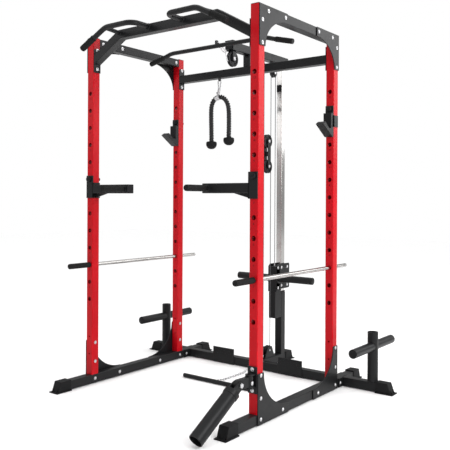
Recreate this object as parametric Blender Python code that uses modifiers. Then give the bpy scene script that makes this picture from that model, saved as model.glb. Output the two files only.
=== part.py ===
"""Power cage with a cable tower, a multi-grip pull-up bar and its attachments.

Metres, +Z up. X runs across the cage, Y from its open front to its rear, and the floor is z = 0.
The pieces are laid out around the middle of the four uprights, and the whole object is then moved so
that the bottom centre of its box is the origin.
"""
import math

import bmesh
import bpy
from mathutils import Matrix, Vector

# ---- driving dimensions -------------------------------------------------------------------------
GAP = 0.0003                # left between pieces that touch
CUT_OVER = 0.002            # how far a cutter reaches past the faces that it cuts

WIDTH = 1.166               # between upright centres, across
DEPTH = 0.753               # between upright centres, front to rear
TUBE = 0.050                # outer side of the square frame tube
WALL = 0.002                # wall of the frame tube
PLATE = 0.005               # end plates and gussets
HEIGHT = 2.020              # top of the uprights
BEAM_LIFT = 0.004           # underside of the base beams above the floor

HOLE_TOP = 1.695            # centre of the highest pin hole
HOLE_PITCH = 0.100
HOLE_COUNT = 13
HOLE_RADIUS = 0.0125
HOLE_SIDES = 8
SMALL_HOLES = (0.275, 0.175)
SMALL_HOLE_RADIUS = 0.005

BASE_FRONT = 0.2485         # base beams reach this far in front of the front upright centres
BASE_REAR = 0.3035          # and this far behind the rear ones
FOOT_LENGTH = 0.105
FOOT_WIDTH = 0.070
FOOT_CAP = 0.057            # width of the cap round the beam's end
FOOT_SLOPE = 0.020          # how far the cap's end leans out
FOOT_LIP = 0.035            # how far the flange stands past the beam's end
FLANGE = 0.006
CAP_TOP = 0.060

GUSSET_TOP_REACH = 0.2515   # along the top beam, from the upright's outer face
GUSSET_TOP_DROP = 0.200
GUSSET_BASE_REACH = 0.2765
GUSSET_BASE_RISE = 0.250
GUSSET_ARC_STEPS = 8
GUSSET_BOLT_IN = 0.1965     # bolt through the gusset and the base beam, inside the upright centre
BOLT_HOLE_RADIUS = 0.005

CROSS_TOP_DROP = 0.110      # upper face of the rear top crossbeam, below the uprights' tops
END_PLATE_LOW = 0.200       # its end plates, below the uprights' tops
END_PLATE_HIGH = 0.065
CROSS_BASE_BEHIND = 0.1155  # rear base crossbeam and outriggers, behind the rear upright centres
BASE_EAR = 0.047            # base end plates reach this far past the beam's faces
FOOT_PLATE_INNER = 0.170
FOOT_PLATE_OUTER = 0.341
FOOT_PLATE_TOP = 0.104
FOOT_PLATE_THICKNESS = 0.004

OUTRIGGER_REACH = 0.277     # from the base beam's outer face
STORAGE_REACH = 0.180       # post's axis from that face
STORAGE_POST_RADIUS = 0.030
STORAGE_TOP = 0.335
STORAGE_PEG_Z = 0.253
STORAGE_PEG_RADIUS = 0.025
STORAGE_PEG_REACH = 0.255   # each way from the post's axis

BAR_MIDDLE_DROP = 0.011     # pull-up bar's middle stretch, tube centre below the uprights' tops
BAR_END_DROP = 0.128
BAR_BEND_X = 0.347
BAR_PLATE_LOW = 0.203
BAR_PLATE_HIGH = 0.067
HANDLE_RADIUS = 0.0145
HANDLE_FORWARD = 0.150      # handle's axis in front of the bar's axis
HANDLE_DROP = 0.002         # handle's axis below the uprights' tops
HANDLE_INNER_X = 0.120
HANDLE_TURN = 0.050         # radius of the bend at the inner corner
HANDLE_BEND_X = 0.322
HANDLE_SLOPE = 0.5          # how steeply the outer stretch falls
HANDLE_PAST = 0.072         # handle's end short of the upright's centre

TOWER_BEHIND = 0.260        # guide tube behind the rear base crossbeam
POST_TOP = 0.462
GUIDE = 0.040
TOWER_REAR = 0.098          # base beam's end behind the guide's centre
STOP_FRONT = 0.100          # stop block's front before the guide's centre
STOP_LOW = 0.300
STOP_HIGH = 0.474
BOOM_FRONT = 0.165
BOOM_REAR = 0.048           # boom's end behind the guide's centre
BOOM_DROP = 0.040           # boom's underside below the uprights' tops
CABLE_SLOT = 0.014

CABLE_RADIUS = 0.0025
PULLEY_WIDTH = 0.018
PULLEY_LIP = 0.0045         # rim above the cable's centre line
AXLE_RADIUS = 0.006
AXLE_CLEARANCE = 0.0005
CHEEK = 0.004               # pulley bracket plates
CHEEK_GAP = 0.0035          # between a pulley and its plates
CHEEK_WIDTH = 0.034
CHEEK_TAIL = 0.014          # how far a cheek plate reaches past its axle
PULLEY_STEPS = 16
STRAND_FRONT = 0.202        # front strands of the floating block, before the guide's centre
STRAND_REAR = 0.122         # its rear strands
CARRIAGE_STRAND = 0.069
RUN_DROP = 0.0072           # cable under the boom
FRONT_PULLEY_Y = 0.205
FRONT_PULLEY_PITCH = 0.043  # pitch radius: from the axle to the cable's centre line
TOP_PULLEY_DROP = 0.065     # below the boom
BLOCK_UPPER_Z = 1.460
BLOCK_LOWER_Z = 1.296
LOW_RUN_Z = 0.0735          # cable over the rear base crossbeam
ANCHOR_TOP = 0.062          # where the lower cable is fixed

CARRIAGE_HIGH = 0.656
CARRIAGE_LOW = 0.490
CARRIAGE_FRONT = 0.097      # before the guide's centre
CARRIAGE_REAR = 0.063       # behind it
CARRIAGE_BLOCK_TOP = 0.640
SIDE_PLATE_X = 0.0275
ROLLER_RADIUS = 0.015
ROLLER_LEVELS = (0.632, 0.512)
PEG_FRONT = 0.069           # weight pegs before the guide's centre
PEG_Z = 0.5615
PEG_RADIUS = 0.023
PEG_END = 0.290

LAT_Y = 0.045
LAT_DROP = 0.002            # lat bar's axis below the boom's underside
LAT_RADIUS = 0.0125
LAT_BEND_X = 0.360
LAT_END_X = 0.525
LAT_END_DROP = 0.046
LUG = 0.007                 # thickness of the eye plates
LUG_TOP = 0.034
LUG_HOLE = 0.0049
LAT_CABLE_LOW = 0.0143      # where the end fitting begins, under the front pulley's axle
CARABINER_END = (0.0895, -0.0195)

ROW_Y = 0.050
ROW_HALF = 0.240
ROW_RADIUS = 0.0125
CHAIN_RADIUS = 0.007
CHAIN_END = 0.043           # chain's rear end behind the rear base crossbeam's centre

ROPE_X = -0.231             # staple under the rear top crossbeam
ROPE_RADIUS = 0.0125
ROPE_EYE_DROP = 0.014       # staple's lowest point below the crossbeam
ROPE_SLEEVE = ((-0.0300, -0.1255), (0.0040, -0.1185))  # sleeve's ends from the staple (x, z below the beam)
ROPE_SLEEVE_RADIUS = 0.0175
ROPE_SLEEVE_BORE = 0.0131
ROPE_LEFT = ((-0.0445, -0.1340), (-0.0590, -0.1560), (-0.0668, -0.1900), (-0.0672, -0.2500),
             (-0.0655, -0.3200), (-0.0645, -0.3720), (-0.0645, -0.3980))
ROPE_RIGHT = ((0.0240, -0.1220), (0.0480, -0.1390), (0.0670, -0.1690), (0.0755, -0.2100),
              (0.0775, -0.2600), (0.0775, -0.3200), (0.0765, -0.3530), (0.0765, -0.3790))
BALL_RADIUS = 0.035
BALL_HEIGHT = 0.054

JCUP_HOLE = 1               # pin hole used, counted down from the top one
JCUP_LOW = 1.438
JCUP_HIGH = 1.615
JCUP_WIDTH = 0.050
DIP_HOLE = 5
DIP_ARM_Z = 1.137
DIP_REACH = 0.288           # arm's end from the upright's inner face
DIP_HANDLE_BACK = 0.027     # handle's axis before the arm's end
DIP_HANDLE_END = 0.1665     # handle's front end before the upright's front face
DIP_HANDLE_RADIUS = 0.016
SAFETY_HOLE = 10
SAFETY_RADIUS = 0.011
SAFETY_PAST = 0.1755        # safety bar's end behind the rear upright centres
SAFETY_GRIP = 0.151
SAFETY_GRIP_RADIUS = 0.0155
PIN_RADIUS = 0.011
PIN_HEAD_RADIUS = 0.016
PIN_TAIL = 0.020            # pin past the upright's far face

MINE_PIN_OUT = 0.034        # swivel pin in front of the upright
MINE_PIVOT_OUT = 0.080      # sleeve pivot in front of the swivel pin
MINE_Z = 0.219
MINE_LENGTH = 0.335         # pivot to the sleeve's open end
MINE_RADIUS = 0.0355
MINE_BORE = 0.0305
MINE_YAW = math.radians(5)
MINE_FLOOR = 0.001          # sleeve's lip above the floor

# ---- values worked out from them ----------------------------------------------------------------
HALF = TUBE / 2
SIDE_X = WIDTH / 2
END_Y = DEPTH / 2
INNER_X = SIDE_X - HALF
OUTER_X = SIDE_X + HALF
FRONT_FACE = -END_Y - HALF
REAR_IN = END_Y - HALF
REAR_FACE = END_Y + HALF
BASE_TOP = BEAM_LIFT + TUBE
CROSS_TOP = HEIGHT - CROSS_TOP_DROP
CROSS_LOW = CROSS_TOP - TUBE
CROSS_BASE_Y = END_Y + CROSS_BASE_BEHIND
TOWER_Y = CROSS_BASE_Y + TOWER_BEHIND
BOOM_LOW = HEIGHT - BOOM_DROP
RUN_Z = BOOM_LOW - RUN_DROP
LAT_Z = BOOM_LOW - LAT_DROP
STRAND_FRONT_Y = TOWER_Y - STRAND_FRONT
STRAND_REAR_Y = TOWER_Y - STRAND_REAR
CARRIAGE_STRAND_Y = TOWER_Y - CARRIAGE_STRAND
CHAIN_END_Y = CROSS_BASE_Y + CHAIN_END
SIDES = (("left", -1), ("right", 1))
ENDS = (("front", -1), ("rear", 1))


def hole_level(index):
    """Height of a pin hole, counted down from the top one."""
    return HOLE_TOP - index * HOLE_PITCH


# ---- collections and materials ------------------------------------------------------------------
for old in list(bpy.data.objects):
    bpy.data.objects.remove(old, do_unlink=True)

PARTS = bpy.data.collections.new("power_cage")
CUTTERS = bpy.data.collections.new("cutters")
for collection in (PARTS, CUTTERS):
    bpy.context.scene.collection.children.link(collection)


def material(name, colour, roughness, metallic=0.0):
    """A Principled material."""
    made = bpy.data.materials.new(name)
    made.use_nodes = True
    shader = made.node_tree.nodes["Principled BSDF"]
    shader.inputs["Base Color"].default_value = (*colour, 1.0)
    shader.inputs["Roughness"].default_value = roughness
    shader.inputs["Metallic"].default_value = metallic
    return made


RED = material("red_paint", (0.55, 0.01, 0.02), 0.35)
BLACK = material("black_powder_coat", (0.018, 0.018, 0.02), 0.5)
CHROME = material("chrome", (0.75, 0.75, 0.76), 0.15, 1.0)
STEEL = material("zinc_steel", (0.6, 0.6, 0.6), 0.3, 1.0)
RUBBER = material("rubber", (0.012, 0.012, 0.012), 0.8)
PLASTIC = material("black_plastic", (0.015, 0.015, 0.017), 0.4)
ROPE = material("black_rope", (0.01, 0.01, 0.01), 0.9)


# ---- shapes -------------------------------------------------------------------------------------
def mesh_object(name, mesh):
    """An object for a mesh, kept with the cutters until it is shown as a part."""
    made = bpy.data.objects.new(name, mesh)
    made.hide_render = True
    made.display_type = "WIRE"
    CUTTERS.objects.link(made)
    return made


def from_bmesh(name, shape):
    """An object from a bmesh."""
    mesh = bpy.data.meshes.new(name)
    shape.to_mesh(mesh)
    shape.free()
    return mesh_object(name, mesh)


def part(made, paint, smooth=False):
    """Shows an object as a part with its material."""
    CUTTERS.objects.unlink(made)
    PARTS.objects.link(made)
    made.hide_render = False
    made.display_type = "TEXTURED"
    made.data.materials.clear()
    made.data.materials.append(paint)
    if smooth:
        made.data.shade_smooth()
        made.data.set_sharp_from_angle(angle=math.radians(35))
    return made


def box(name, low, high):
    """A block between two corners."""
    low = Vector(low)
    high = Vector(high)
    shape = bmesh.new()
    size = Matrix.Diagonal((*(high - low), 1.0))
    bmesh.ops.create_cube(shape, size=1.0, matrix=Matrix.Translation((low + high) / 2) @ size)
    return from_bmesh(name, shape)


def axis_matrix(start, end):
    """Places +Z along the line from start to end, at its middle."""
    start = Vector(start)
    end = Vector(end)
    turn = (end - start).to_track_quat("Z", "Y").to_matrix().to_4x4()
    return Matrix.Translation((start + end) / 2) @ turn


def rod(name, start, end, radius, sides=12):
    """A round bar between two points."""
    shape = bmesh.new()
    length = (Vector(end) - Vector(start)).length
    bmesh.ops.create_cone(shape, cap_ends=True, segments=sides, radius1=radius, radius2=radius,
                          depth=length, matrix=axis_matrix(start, end))
    return from_bmesh(name, shape)


def curve_mesh(name, curve, matrix):
    """The welded mesh of a curve, placed by a matrix."""
    holder = bpy.data.objects.new(name + "_curve", curve)
    bpy.context.scene.collection.objects.link(holder)
    holder.matrix_world = matrix
    graph = bpy.context.evaluated_depsgraph_get()
    mesh = bpy.data.meshes.new_from_object(holder.evaluated_get(graph))
    shape = bmesh.new()
    shape.from_mesh(mesh)
    bmesh.ops.remove_doubles(shape, verts=shape.verts, dist=0.00001)
    shape.to_mesh(mesh)
    shape.free()
    made = mesh_object(name, mesh)
    made.matrix_world = holder.matrix_world
    bpy.data.objects.remove(holder, do_unlink=True)
    return made


def bent_rod(name, points, radius, resolution=2):
    """A round bar or tube's outer shape along a line of points."""
    curve = bpy.data.curves.new(name, "CURVE")
    curve.dimensions = "3D"
    curve.bevel_depth = radius
    curve.bevel_resolution = resolution
    curve.use_fill_caps = True
    line = curve.splines.new("POLY")
    line.points.add(len(points) - 1)
    for point, place in zip(line.points, points):
        point.co = (*place, 1.0)
    return curve_mesh(name, curve, Matrix.Identity(4))


def sheet(name, outline, axis, low, high):
    """A flat outline given thickness along an axis.

    The outline's points are (y, z) for axis X, (x, z) for axis Y and (x, y) for axis Z.
    """
    curve = bpy.data.curves.new(name, "CURVE")
    curve.dimensions = "2D"
    curve.fill_mode = "BOTH"
    curve.extrude = (high - low) / 2
    line = curve.splines.new("POLY")
    line.points.add(len(outline) - 1)
    for point, place in zip(line.points, outline):
        point.co = (*place, 0.0, 1.0)
    line.use_cyclic_u = True
    middle = (low + high) / 2
    columns = {
        "X": ((0, 0, 1, middle), (1, 0, 0, 0), (0, 1, 0, 0), (0, 0, 0, 1)),
        "Y": ((1, 0, 0, 0), (0, 0, -1, middle), (0, 1, 0, 0), (0, 0, 0, 1)),
        "Z": ((1, 0, 0, 0), (0, 1, 0, 0), (0, 0, 1, middle), (0, 0, 0, 1)),
    }
    return curve_mesh(name, curve, Matrix(columns[axis]))


def combine(target, others, operation):
    """Joins pieces to a target, or cuts them out of it, one Boolean each."""
    for other in others:
        boolean = target.modifiers.new(other.name, "BOOLEAN")
        boolean.operation = operation
        boolean.solver = "EXACT"
        boolean.object = other
    return target


def weld(target, *others):
    """Joins pieces to a target."""
    return combine(target, others, "UNION")


def cut(target, *others):
    """Cuts pieces out of a target."""
    return combine(target, others, "DIFFERENCE")


def set_origin(made, place):
    """Moves an object's origin without moving its shape."""
    made.data.transform(Matrix.Translation(-Vector(place)) @ made.matrix_world)
    made.matrix_world = Matrix.Translation(place)
    return made


def square_tube(name, low, high, axis, plates=(), low_inset=-CUT_OVER, high_inset=-CUT_OVER):
    """A square tube along an axis, open through its end plates unless a bore's end is inset."""
    inner_low = [value + WALL for value in low]
    inner_high = [value - WALL for value in high]
    inner_low[axis] = low[axis] + low_inset
    inner_high[axis] = high[axis] - high_inset
    return cut(weld(box(name, low, high), *plates), box(name + "_bore", inner_low, inner_high))


def arc(centre, radius, start, end, steps):
    """Points (u, v) round a centre, with angles in degrees; radius may differ across and up."""
    across, up = radius if isinstance(radius, tuple) else (radius, radius)
    points = []
    for step in range(steps + 1):
        angle = math.radians(start + (end - start) * step / steps)
        points.append((centre[0] + across * math.cos(angle), centre[1] + up * math.sin(angle)))
    return points


def ring(name, points, radius):
    """A closed loop of round wire through the points."""
    curve = bpy.data.curves.new(name, "CURVE")
    curve.dimensions = "3D"
    curve.bevel_depth = radius
    curve.bevel_resolution = 1
    line = curve.splines.new("POLY")
    line.points.add(len(points) - 1)
    for point, place in zip(line.points, points):
        point.co = (*place, 1.0)
    line.use_cyclic_u = True
    return curve_mesh(name, curve, Matrix.Identity(4))


def oval(start, end, half_width, across, steps=6):
    """Points of an oval link between two end points; across is the direction of its width."""
    start = Vector(start)
    end = Vector(end)
    along = (end - start).normalized()
    across = Vector(across)
    points = []
    for centre, first in ((end - along * half_width, 90), (start + along * half_width, 270)):
        for u, v in arc((0, 0), half_width, first, first - 180, steps):
            points.append(tuple(centre + along * u + across * v))
    return points


# ---- the frame ----------------------------------------------------------------------------------
def pin_hole_cutter(x, y):
    """The pin holes of one upright, front to rear, and its small front holes."""
    shape = bmesh.new()
    reach = TUBE + 2 * CUT_OVER
    along_y = Matrix.Rotation(math.radians(90), 4, "X") @ Matrix.Rotation(math.pi / HOLE_SIDES, 4, "Z")
    across_flats = HOLE_RADIUS / math.cos(math.pi / HOLE_SIDES)
    for index in range(HOLE_COUNT):
        place = Matrix.Translation((x, y, hole_level(index)))
        bmesh.ops.create_cone(shape, cap_ends=True, segments=HOLE_SIDES, radius1=across_flats,
                              radius2=across_flats, depth=reach, matrix=place @ along_y)
    for level in SMALL_HOLES:
        place = Matrix.Translation((x, y - HALF, level))
        bmesh.ops.create_cone(shape, cap_ends=True, segments=6, radius1=SMALL_HOLE_RADIUS,
                              radius2=SMALL_HOLE_RADIUS, depth=HALF, matrix=place @ along_y)
    return from_bmesh("pin_holes", shape)


def build_uprights():
    """Four posts with rows of pin holes."""
    for end, fore in ENDS:
        for side, hand in SIDES:
            x = hand * SIDE_X
            y = fore * END_Y
            low = (x - HALF, y - HALF, BASE_TOP + GAP)
            high = (x + HALF, y + HALF, HEIGHT)
            post = square_tube(f"upright_{end}_{side}", low, high, 2)
            part(cut(post, pin_hole_cutter(x, y)), RED)


def foot(name, place, direction):
    """The rubber foot of a beam that ends at place and points along direction (degrees from +X)."""
    cap = sheet(name, [(-FOOT_LENGTH + FOOT_LIP, FLANGE / 2), (FOOT_SLOPE + FLANGE / 2, FLANGE / 2),
                       (FLANGE / 2, CAP_TOP), (-FOOT_LENGTH + FOOT_LIP, CAP_TOP)],
                "Y", -FOOT_CAP / 2, FOOT_CAP / 2)
    flange = box(name + "_flange", (-FOOT_LENGTH + FOOT_LIP, -FOOT_WIDTH / 2, 0),
                 (FOOT_LIP, FOOT_WIDTH / 2, FLANGE))
    turn = Matrix.Translation(place) @ Matrix.Rotation(math.radians(direction), 4, "Z")
    for piece in (cap, flange):
        piece.matrix_world = turn @ piece.matrix_world
    return cap, flange


def build_base_beams():
    """Two base beams along Y, with a foot at each end and a bolt hole behind each gusset."""
    inset = WALL
    front_end = END_Y + BASE_FRONT
    rear_end = END_Y + BASE_REAR
    bolt_y = END_Y - GUSSET_BOLT_IN
    for side, hand in SIDES:
        x = hand * SIDE_X
        beam = square_tube(f"base_beam_{side}", (x - HALF, -front_end, BEAM_LIFT),
                           (x + HALF, rear_end, BASE_TOP), 1, (), inset, inset)
        face = hand * (OUTER_X - WALL / 2)
        for y in (-bolt_y, bolt_y):
            cut(beam, rod(f"beam_bolt_hole_{side}", (face - 0.003, y, BEAM_LIFT + HALF),
                          (face + 0.003, y, BEAM_LIFT + HALF), BOLT_HOLE_RADIUS, 6))
        front = foot(f"front_foot_{side}", (x, -front_end, 0), -90)
        rear = foot(f"rear_foot_{side}", (x, rear_end, 0), 90)
        part(weld(beam, *front, *rear), BLACK)


def build_top_side_beams():
    """Two beams between the uprights' tops."""
    reach = END_Y - HALF - GAP
    for side, hand in SIDES:
        x = hand * SIDE_X
        beam = square_tube(f"top_beam_{side}", (x - HALF, -reach, HEIGHT - TUBE),
                           (x + HALF, reach, HEIGHT), 1)
        part(beam, BLACK)


def gusset_outline(fore, corner_z, end_z, reach, beam_edge):
    """Corner plate: an upright leg and a beam leg joined by a hollow curve."""
    edge = END_Y + HALF
    inner = edge - TUBE
    tip = edge - reach
    curve = arc((tip, end_z), (inner - tip, beam_edge - end_z), 90, 0, GUSSET_ARC_STEPS)
    points = [(edge, corner_z), (tip, corner_z), *curve, (edge, end_z)]
    return [(fore * y, z) for y, z in points]


def build_gussets():
    """Eight corner plates on the outer faces."""
    for end, fore in ENDS:
        for side, hand in SIDES:
            faces = sorted((hand * (OUTER_X + GAP), hand * (OUTER_X + GAP + PLATE)))
            top = gusset_outline(fore, HEIGHT, HEIGHT - GUSSET_TOP_DROP, GUSSET_TOP_REACH,
                                 HEIGHT - TUBE)
            base = gusset_outline(fore, BEAM_LIFT, GUSSET_BASE_RISE, GUSSET_BASE_REACH, BASE_TOP)
            part(sheet(f"top_gusset_{end}_{side}", top, "X", *faces), BLACK)
            part(sheet(f"base_gusset_{end}_{side}", base, "X", *faces), BLACK)


def build_rear_crossbeams():
    """The rear crossbeams with their end plates, and the two foot plates."""
    reach = INNER_X - GAP
    top_plates = []
    base_plates = []
    feet = []
    for side, hand in SIDES:
        near, far = sorted((hand * (reach - PLATE), hand * reach))
        top_plates.append(box(f"top_end_plate_{side}", (near, END_Y - HALF, HEIGHT - END_PLATE_LOW),
                              (far, END_Y + HALF, HEIGHT - END_PLATE_HIGH)))
        base_plates.append(box(f"base_end_plate_{side}", (near, CROSS_BASE_Y - HALF - BASE_EAR, BEAM_LIFT),
                               (far, CROSS_BASE_Y + HALF + BASE_EAR, BASE_TOP)))
        inner, outer = sorted((hand * FOOT_PLATE_INNER, hand * FOOT_PLATE_OUTER))
        feet.append(box(f"foot_plate_{side}", (inner, CROSS_BASE_Y - HALF - FOOT_PLATE_THICKNESS, BEAM_LIFT),
                        (outer, CROSS_BASE_Y - HALF + WALL / 2, FOOT_PLATE_TOP)))
    top = square_tube("rear_top_crossbeam", (-reach, END_Y - HALF, CROSS_TOP - TUBE),
                      (reach, END_Y + HALF, CROSS_TOP), 0, top_plates)
    base = square_tube("rear_base_crossbeam", (-reach, CROSS_BASE_Y - HALF, BEAM_LIFT),
                       (reach, CROSS_BASE_Y + HALF, BASE_TOP), 0, base_plates)
    weld(base, *feet)
    weld(top, ring("rope_staple", oval((ROPE_X, END_Y, CROSS_LOW + 0.001),
                                       (ROPE_X, END_Y, CROSS_LOW - ROPE_EYE_DROP), 0.010, (0, 1, 0)),
                   0.003))
    part(top, BLACK)
    part(base, BLACK)


def build_outriggers():
    """Rear outriggers, each with a round post and a plate storage peg."""
    start = OUTER_X + GAP
    end = OUTER_X + OUTRIGGER_REACH
    for side, hand in SIDES:
        near, far = sorted((hand * start, hand * end))
        low, high = sorted((hand * start, hand * (start + PLATE)))
        ears = box(f"outrigger_plate_{side}", (low, CROSS_BASE_Y - HALF - BASE_EAR, BEAM_LIFT),
                   (high, CROSS_BASE_Y + HALF + BASE_EAR, BASE_TOP))
        insets = (-CUT_OVER, WALL) if hand > 0 else (WALL, -CUT_OVER)
        beam = square_tube(f"plate_storage_{side}", (near, CROSS_BASE_Y - HALF, BEAM_LIFT),
                           (far, CROSS_BASE_Y + HALF, BASE_TOP), 0, (ears,), *insets)
        x = hand * (OUTER_X + STORAGE_REACH)
        post = rod(f"storage_post_{side}", (x, CROSS_BASE_Y, BASE_TOP - WALL / 2),
                   (x, CROSS_BASE_Y, STORAGE_TOP), STORAGE_POST_RADIUS, 16)
        peg = rod(f"storage_peg_{side}", (x, CROSS_BASE_Y - STORAGE_PEG_REACH, STORAGE_PEG_Z),
                  (x, CROSS_BASE_Y + STORAGE_PEG_REACH, STORAGE_PEG_Z), STORAGE_PEG_RADIUS, 16)
        rubber = foot(f"outrigger_foot_{side}", (hand * end, CROSS_BASE_Y, 0),
                      0 if hand > 0 else 180)
        part(weld(beam, post, peg, *rubber), BLACK)


def bent_bar_outline(offset, past):
    """The pull-up bar's edge line, offset from its centre line, from left end to right end.

    The line runs past the inner faces of the end plates by a given length.
    """
    end_x = INNER_X - GAP - PLATE
    slope = math.atan2(BAR_END_DROP - BAR_MIDDLE_DROP, end_x - BAR_BEND_X)
    lift = offset / math.cos(slope)
    bend = BAR_BEND_X + offset * math.tan(slope / 2)
    middle_z = HEIGHT - BAR_MIDDLE_DROP + offset
    end_z = HEIGHT - BAR_END_DROP + lift - past * math.tan(slope)
    return [(-end_x - past, end_z), (-bend, middle_z),
            (bend, middle_z), (end_x + past, end_z)]


def handle_points(hand):
    """Centre line of a pull-up handle, from its weld on the bar to its grip's end."""
    front = -END_Y - HANDLE_FORWARD
    level = HEIGHT - HANDLE_DROP
    slope = HANDLE_SLOPE
    turn = HANDLE_TURN
    inner = arc((HANDLE_INNER_X + turn, front + turn), turn, 180, 270, 6)
    points = [(hand * HANDLE_INNER_X, FRONT_FACE + WALL / 2, level)]
    points += [(hand * x, y, level) for x, y in inner]
    soft = 0.025
    points.append((hand * (HANDLE_BEND_X - soft), front, level))
    points.append((hand * HANDLE_BEND_X, front, level - soft * slope * 0.3))
    points.append((hand * (HANDLE_BEND_X + soft), front, level - soft * slope))
    end_x = SIDE_X - HANDLE_PAST
    points.append((hand * end_x, front, level - (end_x - HANDLE_BEND_X) * slope))
    return points


def build_pull_up_bar():
    """Bent square tube between the front uprights, with two bent round handles in front."""
    short = PLATE / 2
    past = PLATE + CUT_OVER
    outer = bent_bar_outline(HALF, short) + bent_bar_outline(-HALF, short)[::-1]
    inner = bent_bar_outline(HALF - WALL, past) + bent_bar_outline(WALL - HALF, past)[::-1]
    bar = sheet("pull_up_bar", outer, "Y", -END_Y - HALF, -END_Y + HALF)
    for side, hand in SIDES:
        near, far = sorted((hand * (INNER_X - GAP), hand * (INNER_X - GAP - PLATE)))
        weld(bar, box(f"bar_end_plate_{side}", (near, -END_Y - HALF, HEIGHT - BAR_PLATE_LOW),
                      (far, -END_Y + HALF, HEIGHT - BAR_PLATE_HIGH)))
    cut(bar, sheet("pull_up_bore", inner, "Y", -END_Y - HALF + WALL, -END_Y + HALF - WALL))
    for side, hand in SIDES:
        points = handle_points(hand)
        handle = bent_rod(f"handle_{side}", points, HANDLE_RADIUS)
        corner = points[-3]
        root = (hand * (BAR_BEND_X - 0.005), FRONT_FACE + WALL / 2, corner[2])
        stub = rod(f"handle_stub_{side}", corner, root, HANDLE_RADIUS * 0.8, 10)
        weld(bar, handle, stub)
    part(bar, BLACK)


# ---- the cable tower ----------------------------------------------------------------------------
def pulley(name, place, pitch, paint=PLASTIC):
    """A grooved wheel turned round X; pitch is the radius of the cable's centre line."""
    rim = pitch + PULLEY_LIP
    groove = pitch - CABLE_RADIUS - GAP
    half = PULLEY_WIDTH / 2
    channel = CABLE_RADIUS + 0.0008
    bore = AXLE_RADIUS + AXLE_CLEARANCE
    profile = [(bore, half), (rim, half), (rim, half - 0.002), (groove, channel),
               (groove, -channel), (rim, 0.002 - half), (rim, -half), (bore, -half)]
    mesh = bpy.data.meshes.new(name)
    edges = [(index, (index + 1) % len(profile)) for index in range(len(profile))]
    mesh.from_pydata([(radius, 0.0, height) for radius, height in profile], edges, [])
    wheel = mesh_object(name, mesh)
    screw = wheel.modifiers.new("turn", "SCREW")
    screw.steps = PULLEY_STEPS
    screw.render_steps = PULLEY_STEPS
    screw.use_merge_vertices = True
    screw.merge_threshold = 0.00001
    screw.use_smooth_shade = True
    wheel.matrix_world = Matrix.Translation(place) @ Matrix.Rotation(math.radians(90), 4, "Y")
    return part(wheel, paint)


def pulley_bracket(name, place, reach_low, reach_high):
    """Two cheek plates and the axle that carry a pulley; the plates run between two levels."""
    inner = PULLEY_WIDTH / 2 + CHEEK_GAP
    outer = inner + CHEEK
    x, y, z = place
    pieces = [rod(name + "_axle", (x - outer, y, z), (x + outer, y, z), AXLE_RADIUS, 12)]
    for side, hand in SIDES:
        near, far = sorted((x + hand * inner, x + hand * outer))
        pieces.append(box(f"{name}_cheek_{side}", (near, y - CHEEK_WIDTH / 2, reach_low),
                          (far, y + CHEEK_WIDTH / 2, reach_high)))
    return pieces


FRONT_PULLEY = (0.0, FRONT_PULLEY_Y, RUN_Z - FRONT_PULLEY_PITCH)
BLOCK_PITCH = (STRAND_REAR_Y - STRAND_FRONT_Y) / 2
BLOCK_Y = (STRAND_REAR_Y + STRAND_FRONT_Y) / 2
BOOM_PULLEY = (0.0, STRAND_FRONT_Y - BLOCK_PITCH, RUN_Z - BLOCK_PITCH)
TOP_PITCH = (CARRIAGE_STRAND_Y - STRAND_REAR_Y) / 2
TOP_PULLEY = (0.0, STRAND_REAR_Y + TOP_PITCH, BOOM_LOW - TOP_PULLEY_DROP)
LOW_PULLEY = (0.0, STRAND_REAR_Y - TOP_PITCH, LOW_RUN_Z + TOP_PITCH)


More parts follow.
